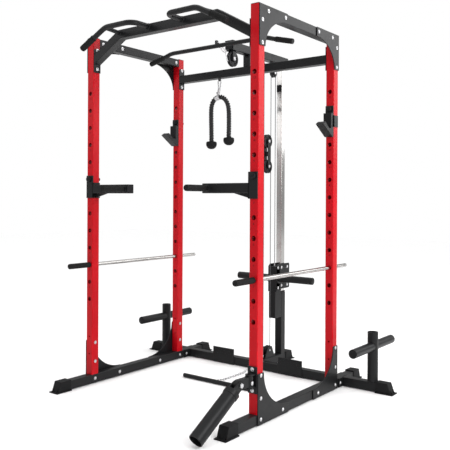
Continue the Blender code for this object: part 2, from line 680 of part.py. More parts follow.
def build_tower():
    """Base beam, lower post with the stop block, chrome guide and the boom above."""
    start = CROSS_BASE_Y + HALF + GAP
    end = TOWER_Y + TOWER_REAR
    base = square_tube("tower_base", (-HALF, start, BEAM_LIFT), (HALF, end, BASE_TOP), 1)
    low_bracket = pulley_bracket("low_bracket", LOW_PULLEY, BASE_TOP - WALL / 2,
                                 LOW_PULLEY[2] + CHEEK_TAIL)
    anchor = box("cable_anchor", (-0.006, STRAND_FRONT_Y - 0.006, BASE_TOP - WALL / 2),
                 (0.006, STRAND_FRONT_Y + 0.006, ANCHOR_TOP))
    part(weld(base, *foot("tower_foot", (0, end, 0), 90), *low_bracket, anchor), BLACK)

    post = square_tube("lower_post", (-HALF, TOWER_Y - HALF, BASE_TOP + GAP),
                       (HALF, TOWER_Y + HALF, POST_TOP), 2)
    stop = box("stop_block", (-HALF, TOWER_Y - STOP_FRONT, STOP_LOW),
               (HALF, TOWER_Y - HALF + WALL / 2, STOP_HIGH))
    part(weld(post, stop), BLACK)

    half = GUIDE / 2
    guide = square_tube("guide_tube", (-half, TOWER_Y - half, BASE_TOP + GAP),
                        (half, TOWER_Y + half, BOOM_LOW - GAP), 2)
    part(guide, CHROME)

    boom = square_tube("top_boom", (-HALF, BOOM_FRONT, BOOM_LOW),
                       (HALF, TOWER_Y + BOOM_REAR, BOOM_LOW + TUBE), 1)
    riser = box("boom_riser", (-HALF, END_Y - HALF, CROSS_TOP + GAP),
                (HALF, END_Y + HALF, BOOM_LOW + WALL / 2))
    slot = box("cable_slot", (-CABLE_SLOT / 2, END_Y - TUBE, RUN_Z - CABLE_SLOT / 2),
               (CABLE_SLOT / 2, END_Y + TUBE, BOOM_LOW - GAP))
    cut(riser, slot)
    weld(boom, riser)
    for name, place in (("front", FRONT_PULLEY), ("boom", BOOM_PULLEY), ("top", TOP_PULLEY)):
        weld(boom, *pulley_bracket(name + "_bracket", place, place[2] - CHEEK_TAIL,
                                   BOOM_LOW + WALL / 2))
    part(boom, BLACK)
    pulley("front_pulley", FRONT_PULLEY, FRONT_PULLEY_PITCH)
    pulley("boom_pulley", BOOM_PULLEY, BLOCK_PITCH)
    pulley("top_pulley", TOP_PULLEY, TOP_PITCH)
    pulley("low_pulley", LOW_PULLEY, TOP_PITCH)


def build_floating_block():
    """The block that hangs in the cable's loop, with a pulley at each end."""
    upper = (0.0, BLOCK_Y, BLOCK_UPPER_Z)
    lower = (0.0, BLOCK_Y, BLOCK_LOWER_Z)
    pieces = pulley_bracket("block", upper, BLOCK_LOWER_Z - CHEEK_TAIL, BLOCK_UPPER_Z + CHEEK_TAIL)
    lower_axle = pulley_bracket("block_low", lower, BLOCK_LOWER_Z - CHEEK_TAIL,
                                BLOCK_LOWER_Z + CHEEK_TAIL)[0]
    inner = PULLEY_WIDTH / 2 + CHEEK_GAP + CHEEK / 2
    middle = (BLOCK_UPPER_Z + BLOCK_LOWER_Z) / 2
    spacer = box("floating_block", (-inner, BLOCK_Y - 0.008, middle - 0.015),
                 (inner, BLOCK_Y + 0.008, middle + 0.015))
    part(weld(spacer, *pieces, lower_axle), BLACK)
    pulley("floating_pulley_upper", upper, BLOCK_PITCH)
    pulley("floating_pulley_lower", lower, BLOCK_PITCH)


def on_pulley(place, pitch, angle):
    """A point of the cable's centre line on a pulley; angle in degrees from +Y towards +Z."""
    turn = math.radians(angle)
    return (0.0, place[1] + pitch * math.cos(turn), place[2] + pitch * math.sin(turn))


def round_pulley(place, pitch, start, end, steps):
    """Corners of the cable round a pulley, each stretch touching the pitch circle."""
    step = (end - start) / steps
    reach = pitch / math.cos(math.radians(step / 2))
    return [on_pulley(place, reach, start + step * (index + 0.5)) for index in range(steps)]


def build_cables():
    """The upper cable from the lat bar to the carriage, and the lower one to the row bar."""
    block_upper = (0.0, BLOCK_Y, BLOCK_UPPER_Z)
    block_lower = (0.0, BLOCK_Y, BLOCK_LOWER_Z)
    upper = [on_pulley(FRONT_PULLEY, FRONT_PULLEY_PITCH, 180)]
    upper += round_pulley(FRONT_PULLEY, FRONT_PULLEY_PITCH, 180, 90, 5)
    upper += round_pulley(BOOM_PULLEY, BLOCK_PITCH, 90, 0, 5)
    upper += round_pulley(block_upper, BLOCK_PITCH, -180, 0, 9)
    upper += round_pulley(TOP_PULLEY, TOP_PITCH, 180, 0, 8)
    upper.append(on_pulley(TOP_PULLEY, TOP_PITCH, 0))
    part(bent_rod("upper_cable", upper, CABLE_RADIUS), STEEL)
    part(bent_rod("carriage_cable", [(0.0, CARRIAGE_STRAND_Y, TOP_PULLEY[2] - GAP),
                                     (0.0, CARRIAGE_STRAND_Y, CARRIAGE_BLOCK_TOP + GAP)],
                  CABLE_RADIUS), STEEL)
    lower = [(0.0, STRAND_FRONT_Y, ANCHOR_TOP + GAP)]
    lower += round_pulley(block_lower, BLOCK_PITCH, 180, 0, 9)
    lower += round_pulley(LOW_PULLEY, TOP_PITCH, 0, -90, 5)
    lower.append((0.0, CHAIN_END_Y + GAP, LOW_RUN_Z))
    part(bent_rod("lower_cable", lower, CABLE_RADIUS), STEEL)
    drop_y = FRONT_PULLEY_Y - FRONT_PULLEY_PITCH
    low = FRONT_PULLEY[2] - LAT_CABLE_LOW
    part(bent_rod("lat_cable", [(0.0, drop_y, FRONT_PULLEY[2] - GAP), (0.0, drop_y, low + GAP)],
                  CABLE_RADIUS), STEEL)


def build_carriage():
    """Weight carriage: side plates, front block, weight pegs, and four rollers on the guide."""
    plate_out = SIDE_PLATE_X + PLATE
    front = TOWER_Y - CARRIAGE_FRONT
    peg_y = TOWER_Y - PEG_FRONT
    block = box("carriage", (-plate_out, front, STOP_HIGH + GAP),
                (plate_out, TOWER_Y - GUIDE / 2 - 2 * ROLLER_RADIUS - 0.004, CARRIAGE_BLOCK_TOP))
    pieces = []
    for side, hand in SIDES:
        near, far = sorted((hand * SIDE_PLATE_X, hand * plate_out))
        pieces.append(box(f"carriage_plate_{side}", (near, front + CUT_OVER, CARRIAGE_LOW),
                          (far, TOWER_Y + CARRIAGE_REAR, CARRIAGE_HIGH)))
        pieces.append(rod(f"weight_peg_{side}", (hand * SIDE_PLATE_X, peg_y, PEG_Z),
                          (hand * PEG_END, peg_y, PEG_Z), PEG_RADIUS, 16))
    roller_half = SIDE_PLATE_X - 0.001
    for place, fore in (("front", -1), ("rear", 1)):
        y = TOWER_Y + fore * (GUIDE / 2 + GAP + ROLLER_RADIUS)
        for level, z in zip(("upper", "lower"), ROLLER_LEVELS):
            axle = rod(f"{level}_{place}_axle", (-SIDE_PLATE_X - CUT_OVER, y, z),
                       (SIDE_PLATE_X + CUT_OVER, y, z), AXLE_RADIUS, 10)
            pieces.append(axle)
            wheel = rod(f"{level}_{place}_roller", (-roller_half, y, z), (roller_half, y, z),
                        ROLLER_RADIUS, 16)
            bore = rod(f"{level}_{place}_roller_bore", (-plate_out, y, z), (plate_out, y, z),
                       AXLE_RADIUS + 2 * AXLE_CLEARANCE, 10)
            part(cut(set_origin(wheel, (0.0, y, z)), bore), PLASTIC)
    part(weld(block, *pieces), BLACK)


# ---- cable attachments --------------------------------------------------------------------------
def build_lat_bar():
    """Bent lat bar with its upright eye, and the carabiner that hooks it to the cable."""
    rise = 0.012
    line = []
    for hand in (-1, 1):
        half = [(hand * LAT_END_X, LAT_Y, LAT_Z - LAT_END_DROP),
                (hand * (LAT_BEND_X + 0.03), LAT_Y, LAT_Z - rise),
                (hand * LAT_BEND_X, LAT_Y, LAT_Z - rise * 0.25),
                (hand * (LAT_BEND_X - 0.03), LAT_Y, LAT_Z)]
        line += half if hand < 0 else half[::-1]
    bar = bent_rod("lat_bar", line, LAT_RADIUS)
    eye = Vector((0.0, LAT_Y + 0.008, LAT_Z + 0.022))
    lug = box("lat_lug", (-LUG / 2, LAT_Y - 0.009, LAT_Z), (LUG / 2, LAT_Y + 0.018, LAT_Z + LUG_TOP))
    hole = rod("lat_lug_hole", eye - Vector((0.02, 0, 0)), eye + Vector((0.02, 0, 0)), LUG_HOLE, 10)
    part(weld(bar, cut(lug, hole)), BLACK)
    end = (0.0, LAT_Y + CARABINER_END[0], LAT_Z + CARABINER_END[1])
    link = ring("lat_carabiner", oval(eye, end, 0.010, (1, 0, 0)), 0.003)
    drop_y = FRONT_PULLEY_Y - FRONT_PULLEY_PITCH
    low = FRONT_PULLEY[2] - LAT_CABLE_LOW
    fitting = bent_rod("cable_fitting", [(0.0, drop_y, low), (0.0, drop_y, low - 0.005),
                                         (0.0, drop_y - 0.009, low - 0.004), end], 0.003)
    part(weld(link, fitting), STEEL)


def build_row_bar():
    """Straight low row bar on the floor, and the chain that leads to the lower cable."""
    z = ROW_RADIUS + GAP
    bar = rod("low_row_bar", (-ROW_HALF, ROW_Y, z), (ROW_HALF, ROW_Y, z), ROW_RADIUS, 14)
    lug = box("row_lug", (-LUG / 2, ROW_Y, z - 0.006), (LUG / 2, ROW_Y + 0.030, z + 0.006))
    part(weld(bar, lug), BLACK)
    start = ROW_Y + 0.030 + GAP
    rest = CHAIN_RADIUS + GAP
    line = [(0.0, start, z), (0.0, start + 0.02, z), (0.0, start + 0.06, rest), (0.0, 0.34, rest),
            (0.0, 0.38, 0.017), (0.0, 0.41, 0.034), (0.0, 0.445, 0.060), (0.0, 0.475, 0.0725),
            (0.0, 0.50, LOW_RUN_Z), (0.0, CHAIN_END_Y, LOW_RUN_Z)]
    part(bent_rod("row_chain", line, CHAIN_RADIUS, 1), STEEL)


def rope_place(point):
    """A point of the rope's plane, given from the staple (x, z below the crossbeam)."""
    return (ROPE_X + point[0], END_Y, CROSS_LOW + point[1])


def build_rope():
    """Triceps rope: carabiner and sleeve, two rope halves that meet inside it, two rubber ends."""
    first = Vector(rope_place(ROPE_SLEEVE[0]))
    last = Vector(rope_place(ROPE_SLEEVE[1]))
    middle = (first + last) / 2
    along = (last - first).normalized()
    sleeve = rod("rope_clamp", first, last, ROPE_SLEEVE_RADIUS, 14)
    stem_top = Vector(rope_place((-0.002, -0.066)))
    stem = rod("rope_stem", middle, stem_top, 0.008, 12)
    link = ring("rope_carabiner", oval(stem_top, rope_place((0.0, -0.0065)), 0.010, (1, 0, 0)), 0.003)
    bore = rod("rope_bore", first - along * 0.01, last + along * 0.01, ROPE_SLEEVE_BORE, 16)
    hanger = part(cut(weld(sleeve, stem, link), bore), STEEL)
    set_origin(hanger, rope_place((0.0, -0.010)))
    for side, route, way in (("left", ROPE_LEFT, -1), ("right", ROPE_RIGHT, 1)):
        start = middle + along * way * GAP / 2
        mouth = middle + along * way * 0.019
        line = [tuple(start), *smooth_line([(mouth[0] - ROPE_X, mouth[2] - CROSS_LOW), *route], 16)]
        part(bent_rod(f"rope_strand_{side}", line, ROPE_RADIUS), ROPE)
        x, y, z = line[-1]
        top = z - GAP
        outline = [(0.0, 0.0), (0.030, 0.0), (BALL_RADIUS, -0.010), (BALL_RADIUS, -0.026),
                   (0.022, -BALL_HEIGHT + 0.008), (0.0, -BALL_HEIGHT)]
        part(turned(f"rope_ball_{side}", outline, (x, y, top), 12), RUBBER)


def turned(name, outline, place, steps):
    """A solid turned round a vertical axis; the outline runs down its outer side, from axis to axis."""
    mesh = bpy.data.meshes.new(name)
    edges = [(index, index + 1) for index in range(len(outline) - 1)]
    mesh.from_pydata([(radius, 0.0, height) for radius, height in outline], edges, [])
    made = mesh_object(name, mesh)
    screw = made.modifiers.new("turn", "SCREW")
    screw.steps = steps
    screw.render_steps = steps
    screw.use_merge_vertices = True
    screw.merge_threshold = 0.00001
    made.matrix_world = Matrix.Translation(place)
    return made


def smooth_line(route, count):
    """Evenly read points of a Catmull-Rom curve through a rope's route, at the crossbeam's depth."""
    ends = [route[0], *route, route[-1]]
    points = []
    spans = len(route) - 1
    for step in range(count + 1):
        place = min(step * spans / count, spans - 0.000001)
        span = int(place)
        t = place - span
        before, start, end, after = (Vector(ends[span + shift]) for shift in range(4))
        middle = 0.5 * (2 * start + (end - before) * t
                        + (2 * before - 5 * start + 4 * end - after) * t * t
                        + (3 * start - before - 3 * end + after) * t * t * t)
        points.append(rope_place(middle))
    return points


# ---- attachments on the uprights ----------------------------------------------------------------
def pin(name, x, face, back, level):
    """A locating pin that goes through an upright from face to past its back, with a knob."""
    toward = 1 if back > face else -1
    shank = rod(name, (x, face - toward * 0.002, level), (x, back + toward * PIN_TAIL, level),
                PIN_RADIUS, 10)
    knob = rod(name + "_knob", (x, face - toward * 0.020, level), (x, face - toward * 0.004, level),
               PIN_HEAD_RADIUS, 12)
    return shank, knob


def build_jcups():
    """Bar hooks on the inner faces of the rear uprights."""
    face = REAR_IN - GAP
    level = hole_level(JCUP_HOLE)
    front = face - 0.006
    outline = [(face, JCUP_LOW), (face, JCUP_HIGH), (front, JCUP_HIGH), (front, 1.572),
               (face - 0.029, 1.572), (face - 0.029, 1.484), (face - 0.052, 1.484),
               (face - 0.094, 1.516), (face - 0.118, 1.503), (face - 0.016, JCUP_LOW)]
    half = JCUP_WIDTH / 2
    for side, hand in SIDES:
        x = hand * SIDE_X
        hook = sheet(f"jcup_{side}", outline, "X", x - half, x + half)
        near, far = sorted((hand * (OUTER_X + GAP), hand * (OUTER_X + GAP + PLATE)))
        wing = box(f"jcup_wing_{side}", (near, front, 1.495), (far, REAR_IN + 0.042, 1.560))
        bridge_x = sorted((x, far if hand > 0 else near))
        bridge = box(f"jcup_bridge_{side}", (bridge_x[0], front, 1.495), (bridge_x[1], face, 1.560))
        part(weld(hook, bridge, wing, *pin(f"jcup_pin_{side}", x, face, REAR_FACE, level)), BLACK)


def build_dip_arms():
    """Dip handles on the front uprights: angle bracket, square arm, brace and round handle."""
    face = FRONT_FACE - GAP
    front = face - 0.006
    level = hole_level(DIP_HOLE)
    for side, hand in SIDES:
        x = hand * SIDE_X
        inner = INNER_X - GAP
        spread = sorted((hand * (OUTER_X - 0.001), hand * (inner - PLATE)))
        bracket = box(f"dip_arm_{side}", (spread[0], front, level - 0.110),
                      (spread[1], face, level + 0.020))
        near, far = sorted((hand * inner, hand * (inner - PLATE)))
        cheek = box(f"dip_cheek_{side}", (near, front, level - 0.110), (far, -END_Y + HALF, level - 0.020))
        end_x = INNER_X - DIP_REACH
        arm_x = sorted((hand * (inner - PLATE / 2), hand * end_x))
        arm_y = front + HALF
        arm = square_tube(f"dip_tube_{side}", (arm_x[0], arm_y - HALF, DIP_ARM_Z - HALF),
                          (arm_x[1], arm_y + HALF, DIP_ARM_Z + HALF), 0)
        brace = sheet(f"dip_brace_{side}",
                      [(hand * (inner - PLATE / 2), level - 0.110),
                       (hand * (inner - 0.110), DIP_ARM_Z - HALF + 0.001),
                       (hand * (inner - PLATE / 2), DIP_ARM_Z - HALF + 0.001)],
                      "Y", arm_y - 0.003, arm_y + 0.003)
        handle_x = hand * (end_x + DIP_HANDLE_BACK)
        handle = rod(f"dip_handle_{side}", (handle_x, front + WALL / 2, DIP_ARM_Z),
                     (handle_x, FRONT_FACE - DIP_HANDLE_END, DIP_ARM_Z), DIP_HANDLE_RADIUS, 14)
        lock = pin(f"dip_pin_{side}", x, face, -END_Y + HALF, level)
        part(weld(bracket, cheek, arm, brace, handle, *lock), BLACK)


def build_safety_bars():
    """Round safety bars through the pin holes, with a thicker grip in front."""
    level = hole_level(SAFETY_HOLE)
    grip_end = FRONT_FACE - GAP
    for side, hand in SIDES:
        x = hand * SIDE_X
        bar = rod(f"safety_bar_{side}", (x, grip_end - SAFETY_GRIP + 0.003, level),
                  (x, END_Y + SAFETY_PAST, level), SAFETY_RADIUS, 12)
        grip = rod(f"safety_grip_{side}", (x, grip_end - SAFETY_GRIP, level), (x, grip_end, level),
                   SAFETY_GRIP_RADIUS, 14)
        part(weld(bar, grip), CHROME)


def build_landmine():
    """Swivelling sleeve low on the front right upright, resting on the floor."""
    x = SIDE_X
    face = FRONT_FACE - GAP
    pin_y = FRONT_FACE - MINE_PIN_OUT
    pin_radius = 0.008
    bracket = box("landmine_bracket", (x - 0.027, face - 0.006, MINE_Z - 0.064),
                  (x + 0.027, face, MINE_Z + 0.065))
    lugs = []
    for name, low in (("upper", MINE_Z + 0.026), ("lower", MINE_Z - 0.034)):
        lugs.append(box(f"{name}_lug", (x - 0.018, pin_y - 0.016, low),
                        (x + 0.018, face - 0.004, low + 0.008)))
    upright_pin = rod("swivel_pin", (x, pin_y, MINE_Z - 0.034), (x, pin_y, MINE_Z + 0.034),
                      pin_radius, 10)
    part(weld(bracket, *lugs, upright_pin), BLACK)

    pivot_y = pin_y - MINE_PIVOT_OUT
    swivel = rod("landmine_swivel", (x, pin_y, MINE_Z - 0.0255), (x, pin_y, MINE_Z + 0.0255), 0.020, 14)
    tongue = box("swivel_tongue", (x - 0.013, pivot_y, MINE_Z - 0.0235),
                 (x + 0.013, pin_y, MINE_Z + 0.0235))
    knuckle = rod("swivel_knuckle", (x - 0.013, pivot_y, MINE_Z), (x + 0.013, pivot_y, MINE_Z), 0.0235, 16)
    cross_pin = rod("pivot_pin", (x - 0.028, pivot_y, MINE_Z), (x + 0.028, pivot_y, MINE_Z), 0.007, 10)
    bore = rod("swivel_bore", (x, pin_y, MINE_Z - 0.04), (x, pin_y, MINE_Z + 0.04),
               pin_radius + AXLE_CLEARANCE, 10)
    weld(swivel, tongue, knuckle)
    cut(swivel, bore)
    weld(swivel, cross_pin)

    sleeve_start = 0.045
    sleeve = rod("landmine_sleeve", (x, pivot_y - sleeve_start, MINE_Z),
                 (x, pivot_y - MINE_LENGTH, MINE_Z), MINE_RADIUS, 18)
    sleeve_bore = rod("sleeve_bore", (x, pivot_y - sleeve_start - 0.006, MINE_Z),
                      (x, pivot_y - MINE_LENGTH - CUT_OVER, MINE_Z), MINE_BORE, 18)
    ears = []
    pin_bore = rod("ear_bore", (x - 0.05, pivot_y, MINE_Z), (x + 0.05, pivot_y, MINE_Z), 0.0075, 10)
    for side, hand in SIDES:
        near, far = sorted((x + hand * 0.0135, x + hand * 0.0205))
        ears.append(box(f"sleeve_ear_{side}", (near, pivot_y - sleeve_start - 0.002, MINE_Z - 0.016),
                        (far, pivot_y + 0.014, MINE_Z + 0.016)))
    cut(sleeve, sleeve_bore)
    weld(sleeve, *ears)
    cut(sleeve, pin_bore)

    reach = math.hypot(MINE_LENGTH, MINE_RADIUS)
    droop = math.asin((MINE_Z - MINE_FLOOR) / reach) - math.atan2(MINE_RADIUS, MINE_LENGTH)
    pivot = Vector((x, pivot_y, MINE_Z))
    lean = (Matrix.Translation(pivot) @ Matrix.Rotation(droop, 4, "X")
            @ Matrix.Translation(-pivot))
    axis = Vector((x, pin_y, MINE_Z))
    yaw = (Matrix.Translation(axis) @ Matrix.Rotation(-MINE_YAW, 4, "Z")
           @ Matrix.Translation(-axis))
    for piece in (sleeve, sleeve_bore, pin_bore, *ears):
        piece.matrix_world = yaw @ lean @ piece.matrix_world
    for piece in (swivel, tongue, knuckle, bore, cross_pin):
        piece.matrix_world = yaw @ piece.matrix_world
    part(swivel, BLACK)
    part(sleeve, BLACK)


def settle():
    """Moves everything so that the bottom centre of the object's box is the origin.

    The triceps rope's strands and balls are left out of the box; they lie well inside it.
    """
    bpy.context.view_layer.update()
    graph = bpy.context.evaluated_depsgraph_get()
    corners = []
    for piece in PARTS.objects:
        if piece.name.startswith("rope_"):
            continue
        shown = piece.evaluated_get(graph)
        corners += [shown.matrix_world @ vertex.co for vertex in shown.to_mesh().vertices]
        shown.to_mesh_clear()
    shift = Vector((0.0, 0.0, 0.0))
    for axis in (0, 1):
        values = [corner[axis] for corner in corners]
        shift[axis] = -(min(values) + max(values)) / 2
    shift[2] = -min(corner[2] for corner in corners)
    for piece in (*PARTS.objects, *CUTTERS.objects):
        piece.matrix_world = Matrix.Translation(shift) @ piece.matrix_world
    bpy.context.view_layer.update()


build_uprights()
build_base_beams()
build_top_side_beams()
build_gussets()
build_rear_crossbeams()
build_outriggers()
build_pull_up_bar()
build_tower()
build_floating_block()
build_cables()
build_carriage()
build_lat_bar()
build_row_bar()
build_rope()
build_jcups()
build_dip_arms()
build_safety_bars()
build_landmine()
settle()
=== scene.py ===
"""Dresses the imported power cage: rounded steel work, fasteners, cables, rope, rubber and finishes.

Lengths are in metres. Sub-assemblies are laid out round the middle of the four uprights, X to the
right, Y from the open front to the cable tower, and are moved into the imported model's frame last.
"""
from __future__ import annotations

import logging
import math
from dataclasses import dataclass, field
from enum import Enum
from typing import Callable, Iterable, Optional, Sequence, Union

import bmesh
import bpy
from mathutils import Matrix, Vector
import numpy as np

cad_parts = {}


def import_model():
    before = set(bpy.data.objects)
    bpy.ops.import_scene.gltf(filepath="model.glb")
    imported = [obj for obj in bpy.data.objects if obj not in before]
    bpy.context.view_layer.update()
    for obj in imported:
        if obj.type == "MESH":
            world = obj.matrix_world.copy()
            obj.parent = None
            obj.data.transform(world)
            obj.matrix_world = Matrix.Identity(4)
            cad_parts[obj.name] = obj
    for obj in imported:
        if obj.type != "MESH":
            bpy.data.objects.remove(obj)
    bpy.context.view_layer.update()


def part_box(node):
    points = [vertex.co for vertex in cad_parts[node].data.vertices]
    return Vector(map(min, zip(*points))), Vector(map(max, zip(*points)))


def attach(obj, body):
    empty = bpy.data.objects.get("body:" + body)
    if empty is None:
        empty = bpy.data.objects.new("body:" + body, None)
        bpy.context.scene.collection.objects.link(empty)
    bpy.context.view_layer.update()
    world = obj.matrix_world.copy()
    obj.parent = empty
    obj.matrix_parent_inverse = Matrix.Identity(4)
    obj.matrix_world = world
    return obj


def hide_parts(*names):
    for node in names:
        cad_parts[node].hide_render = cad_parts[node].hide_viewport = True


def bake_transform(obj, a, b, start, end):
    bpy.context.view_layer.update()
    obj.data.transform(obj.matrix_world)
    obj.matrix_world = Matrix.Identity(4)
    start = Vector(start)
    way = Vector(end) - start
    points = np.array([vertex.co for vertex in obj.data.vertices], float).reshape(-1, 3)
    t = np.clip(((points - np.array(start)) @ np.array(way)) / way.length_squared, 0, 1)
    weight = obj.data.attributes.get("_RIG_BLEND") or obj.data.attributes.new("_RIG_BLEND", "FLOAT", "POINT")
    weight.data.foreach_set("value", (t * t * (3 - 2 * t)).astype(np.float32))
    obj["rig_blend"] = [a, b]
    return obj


LOG = logging.getLogger("power_cage")
GAP = 0.0003
Point = Sequence[float]
Number = Union[float, "Value"]


class Side(Enum):
    """Left and right of the cage, seen from its open front."""

    LEFT = -1
    RIGHT = 1

    @property
    def label(self) -> str:
        """The side's name in node names."""
        return self.name.lower()


class End(Enum):
    """Front and rear of the cage."""

    FRONT = -1
    REAR = 1

    @property
    def label(self) -> str:
        """The end's name in node names."""
        return self.name.lower()


class Axis(Enum):
    """An axis of the frame."""

    X = 0
    Y = 1
    Z = 2

    def point(self, pair: Point, level: float) -> Vector:
        """A point from its two other coordinates and its level on this axis."""
        values = list(pair)
        values.insert(self.value, level)
        return Vector(values)

    @property
    def unit(self) -> Vector:
        """The axis's direction."""
        return self.point((0.0, 0.0), 1.0)


# ---- shader maths -------------------------------------------------------------------------------
class Value:
    """A shader socket that takes part in sums."""

    def __init__(self, graph: "Graph", socket: bpy.types.NodeSocket) -> None:
        """Wraps a socket of a graph."""
        self.graph = graph
        self.socket = socket

    def _math(self, operation: str, first: Number, second: Number) -> "Value":
        """A Math node of two numbers or sockets."""
        return self.graph.node("ShaderNodeMath", {"operation": operation}, {0: first, 1: second})

    def __add__(self, other: Number) -> "Value":
        """Sum."""
        return self._math("ADD", self, other)

    def __radd__(self, other: Number) -> "Value":
        """Sum, reflected."""
        return self._math("ADD", other, self)

    def __sub__(self, other: Number) -> "Value":
        """Difference."""
        return self._math("SUBTRACT", self, other)

    def __rsub__(self, other: Number) -> "Value":
        """Difference, reflected."""
        return self._math("SUBTRACT", other, self)

    def __mul__(self, other: Number) -> "Value":
        """Product."""
        return self._math("MULTIPLY", self, other)

    def __rmul__(self, other: Number) -> "Value":
        """Product, reflected."""
        return self._math("MULTIPLY", other, self)


class Graph:
    """A node tree, built from calls."""

    def __init__(self, tree: bpy.types.NodeTree, shader: str) -> None:
        """Wraps a tree and names the shader that it starts with."""
        self.tree = tree
        self.shader = tree.nodes[shader]

    def _feed(self, socket: bpy.types.NodeSocket, value: object) -> None:
        """Links a wrapped socket, or sets a plain value."""
        if isinstance(value, Value):
            self.tree.links.new(value.socket, socket)
        else:
            socket.default_value = value

    def node(self, kind: str, settings: Optional[dict] = None, inputs: Optional[dict] = None,
             output: Union[int, str] = 0) -> Value:
        """Adds a node.

        Args:
            kind: the node's type.
            settings: its properties; "stops" are a ramp's (place, colour) pairs.
            inputs: values or wrapped sockets by input name or number.
            output: which output is returned.

        Returns:
            The wrapped output socket.
        """
        made = self.tree.nodes.new(kind)
        for key, value in (settings or {}).items():
            if key == "stops":
                for element, (place, colour) in zip(made.color_ramp.elements, value):
                    element.position = place
                    element.color = colour
            else:
                setattr(made, key, value)
        for key, value in (inputs or {}).items():
            self._feed(made.inputs[key], value)
        return Value(self, made.outputs[output])

    def set(self, **inputs: object) -> None:
        """Feeds the shader's sockets, named with underscores for spaces."""
        for key, value in inputs.items():
            self._feed(self.shader.inputs[key.replace("_", " ")], value)

    def place(self) -> Value:
        """Object coordinates."""
        return self.node("ShaderNodeTexCoord", output="Object")

    def noise(self, scale: float, detail: float = 2.0, place: Optional[Value] = None) -> Value:
        """Smooth noise from 0 to 1 on object coordinates."""
        inputs = {"Vector": place or self.place(), "Scale": scale, "Detail": detail}
        return self.node("ShaderNodeTexNoise", None, inputs)

    def stretched(self, scale: Point) -> Value:
        """Object coordinates scaled by axis."""
        return self.node("ShaderNodeMapping", None, {"Vector": self.place(), "Scale": tuple(scale)})

    def ramp(self, factor: Value, low: float, high: float) -> Value:
        """0 below low, 1 above high, and a straight rise between."""
        inputs = {"Value": factor, "From Min": low, "From Max": high}
        return self.node("ShaderNodeMapRange", {"clamp": True}, inputs)

    def mix(self, factor: Number, first: object, second: object) -> Value:
        """A colour between two colours."""
        settings = {"data_type": "RGBA", "clamp_factor": True}
        return self.node("ShaderNodeMix", settings, {0: factor, 6: first, 7: second}, 2)

    def bump(self, height: Value, distance: float, strength: float = 1.0) -> Value:
        """A normal from a height."""
        inputs = {"Height": height, "Distance": distance, "Strength": strength}
        return self.node("ShaderNodeBump", None, inputs)


def tint(colour: Point, factor: float) -> tuple[float, ...]:
    """A colour made lighter or darker, with alpha."""
    return (*(min(1.0, channel * factor) for channel in colour), 1.0)


@dataclass(frozen=True)
class Finish:
    """A finish: its record slot and its base colour and roughness."""

    name: str
    slot: str
    colour: tuple[float, float, float]
    roughness: float

    def paint(self, graph: Graph) -> None:
        """Builds the shader; each kind of finish has its own."""
        graph.set(Base_Color=(*self.colour, 1.0), Roughness=self.roughness)

    def material(self) -> bpy.types.Material:
        """The finish's material, made once."""
        found = bpy.data.materials.get(self.name)
        if found is None:
            found = bpy.data.materials.new(self.name)
            found.use_nodes = True
            self.paint(Graph(found.node_tree, "Principled BSDF"))
        return found


@dataclass(frozen=True)
class PowderCoat(Finish):
    """Baked powder paint: a fine grain, slow cloudiness, and edges painted a little lighter, partly as worn
    paint and partly as a painted highlight.
    """

    grain: float = 1500.0
    grain_depth: float = 0.00006
    # Tint of the lighter edges: partly worn paint, partly a painted highlight.
    wear_and_highlight: float = 2.2
    coat: float = 0.15
    specular: float = 0.10

    def paint(self, graph: Graph) -> None:
        """Mixes cloud, dust and lighter edges (worn paint and a painted highlight) into the colour, and
        grain into the normal.
        """
        cloud = graph.noise(5.0, 4.0)
        speckle = graph.noise(self.grain, 2.0)
        peel = graph.noise(self.grain / 6.0, 2.0)
        body = graph.mix(cloud, tint(self.colour, 0.82), tint(self.colour, 1.18))
        edge = graph.node("ShaderNodeAttribute", {"attribute_name": "edge"}, output="Fac")
        # Bevelled edges painted lighter under a noise mask: partly worn paint, partly a painted highlight.
        worn_and_highlit = edge * graph.ramp(graph.noise(38.0, 5.0), 0.45, 0.62)
        colour = graph.mix(worn_and_highlit * 0.55, body, tint(self.colour, self.wear_and_highlight))
        scuff = graph.ramp(graph.noise(17.0, 6.0), 0.58, 0.75)
        graph.set(Base_Color=colour, Coat_Weight=self.coat, Coat_Roughness=0.25,
                  Specular_IOR_Level=self.specular,
                  Roughness=self.roughness + (cloud - 0.5) * 0.10 + scuff * 0.08 - worn_and_highlit * 0.10,
                  Normal=graph.bump(speckle * 0.6 + peel * 0.9, self.grain_depth, 0.6))


@dataclass(frozen=True)
class Metal(Finish):
    """Plated or drawn steel with fine marks along one axis."""

    streak: tuple[float, float, float] = (900.0, 900.0, 12.0)
    streak_depth: float = 0.00002

    def paint(self, graph: Graph) -> None:
        """Bright metal with drawn streaks and slightly cloudy plating."""
        streaks = graph.noise(1.0, 3.0, graph.stretched(self.streak))
        cloud = graph.noise(9.0, 4.0)
        colour = graph.mix(cloud, tint(self.colour, 0.86), tint(self.colour, 1.08))
        graph.set(Base_Color=colour, Metallic=1.0,
                  Roughness=self.roughness + (streaks - 0.5) * 0.16 + (cloud - 0.5) * 0.08,
                  Normal=graph.bump(streaks, self.streak_depth, 0.5))


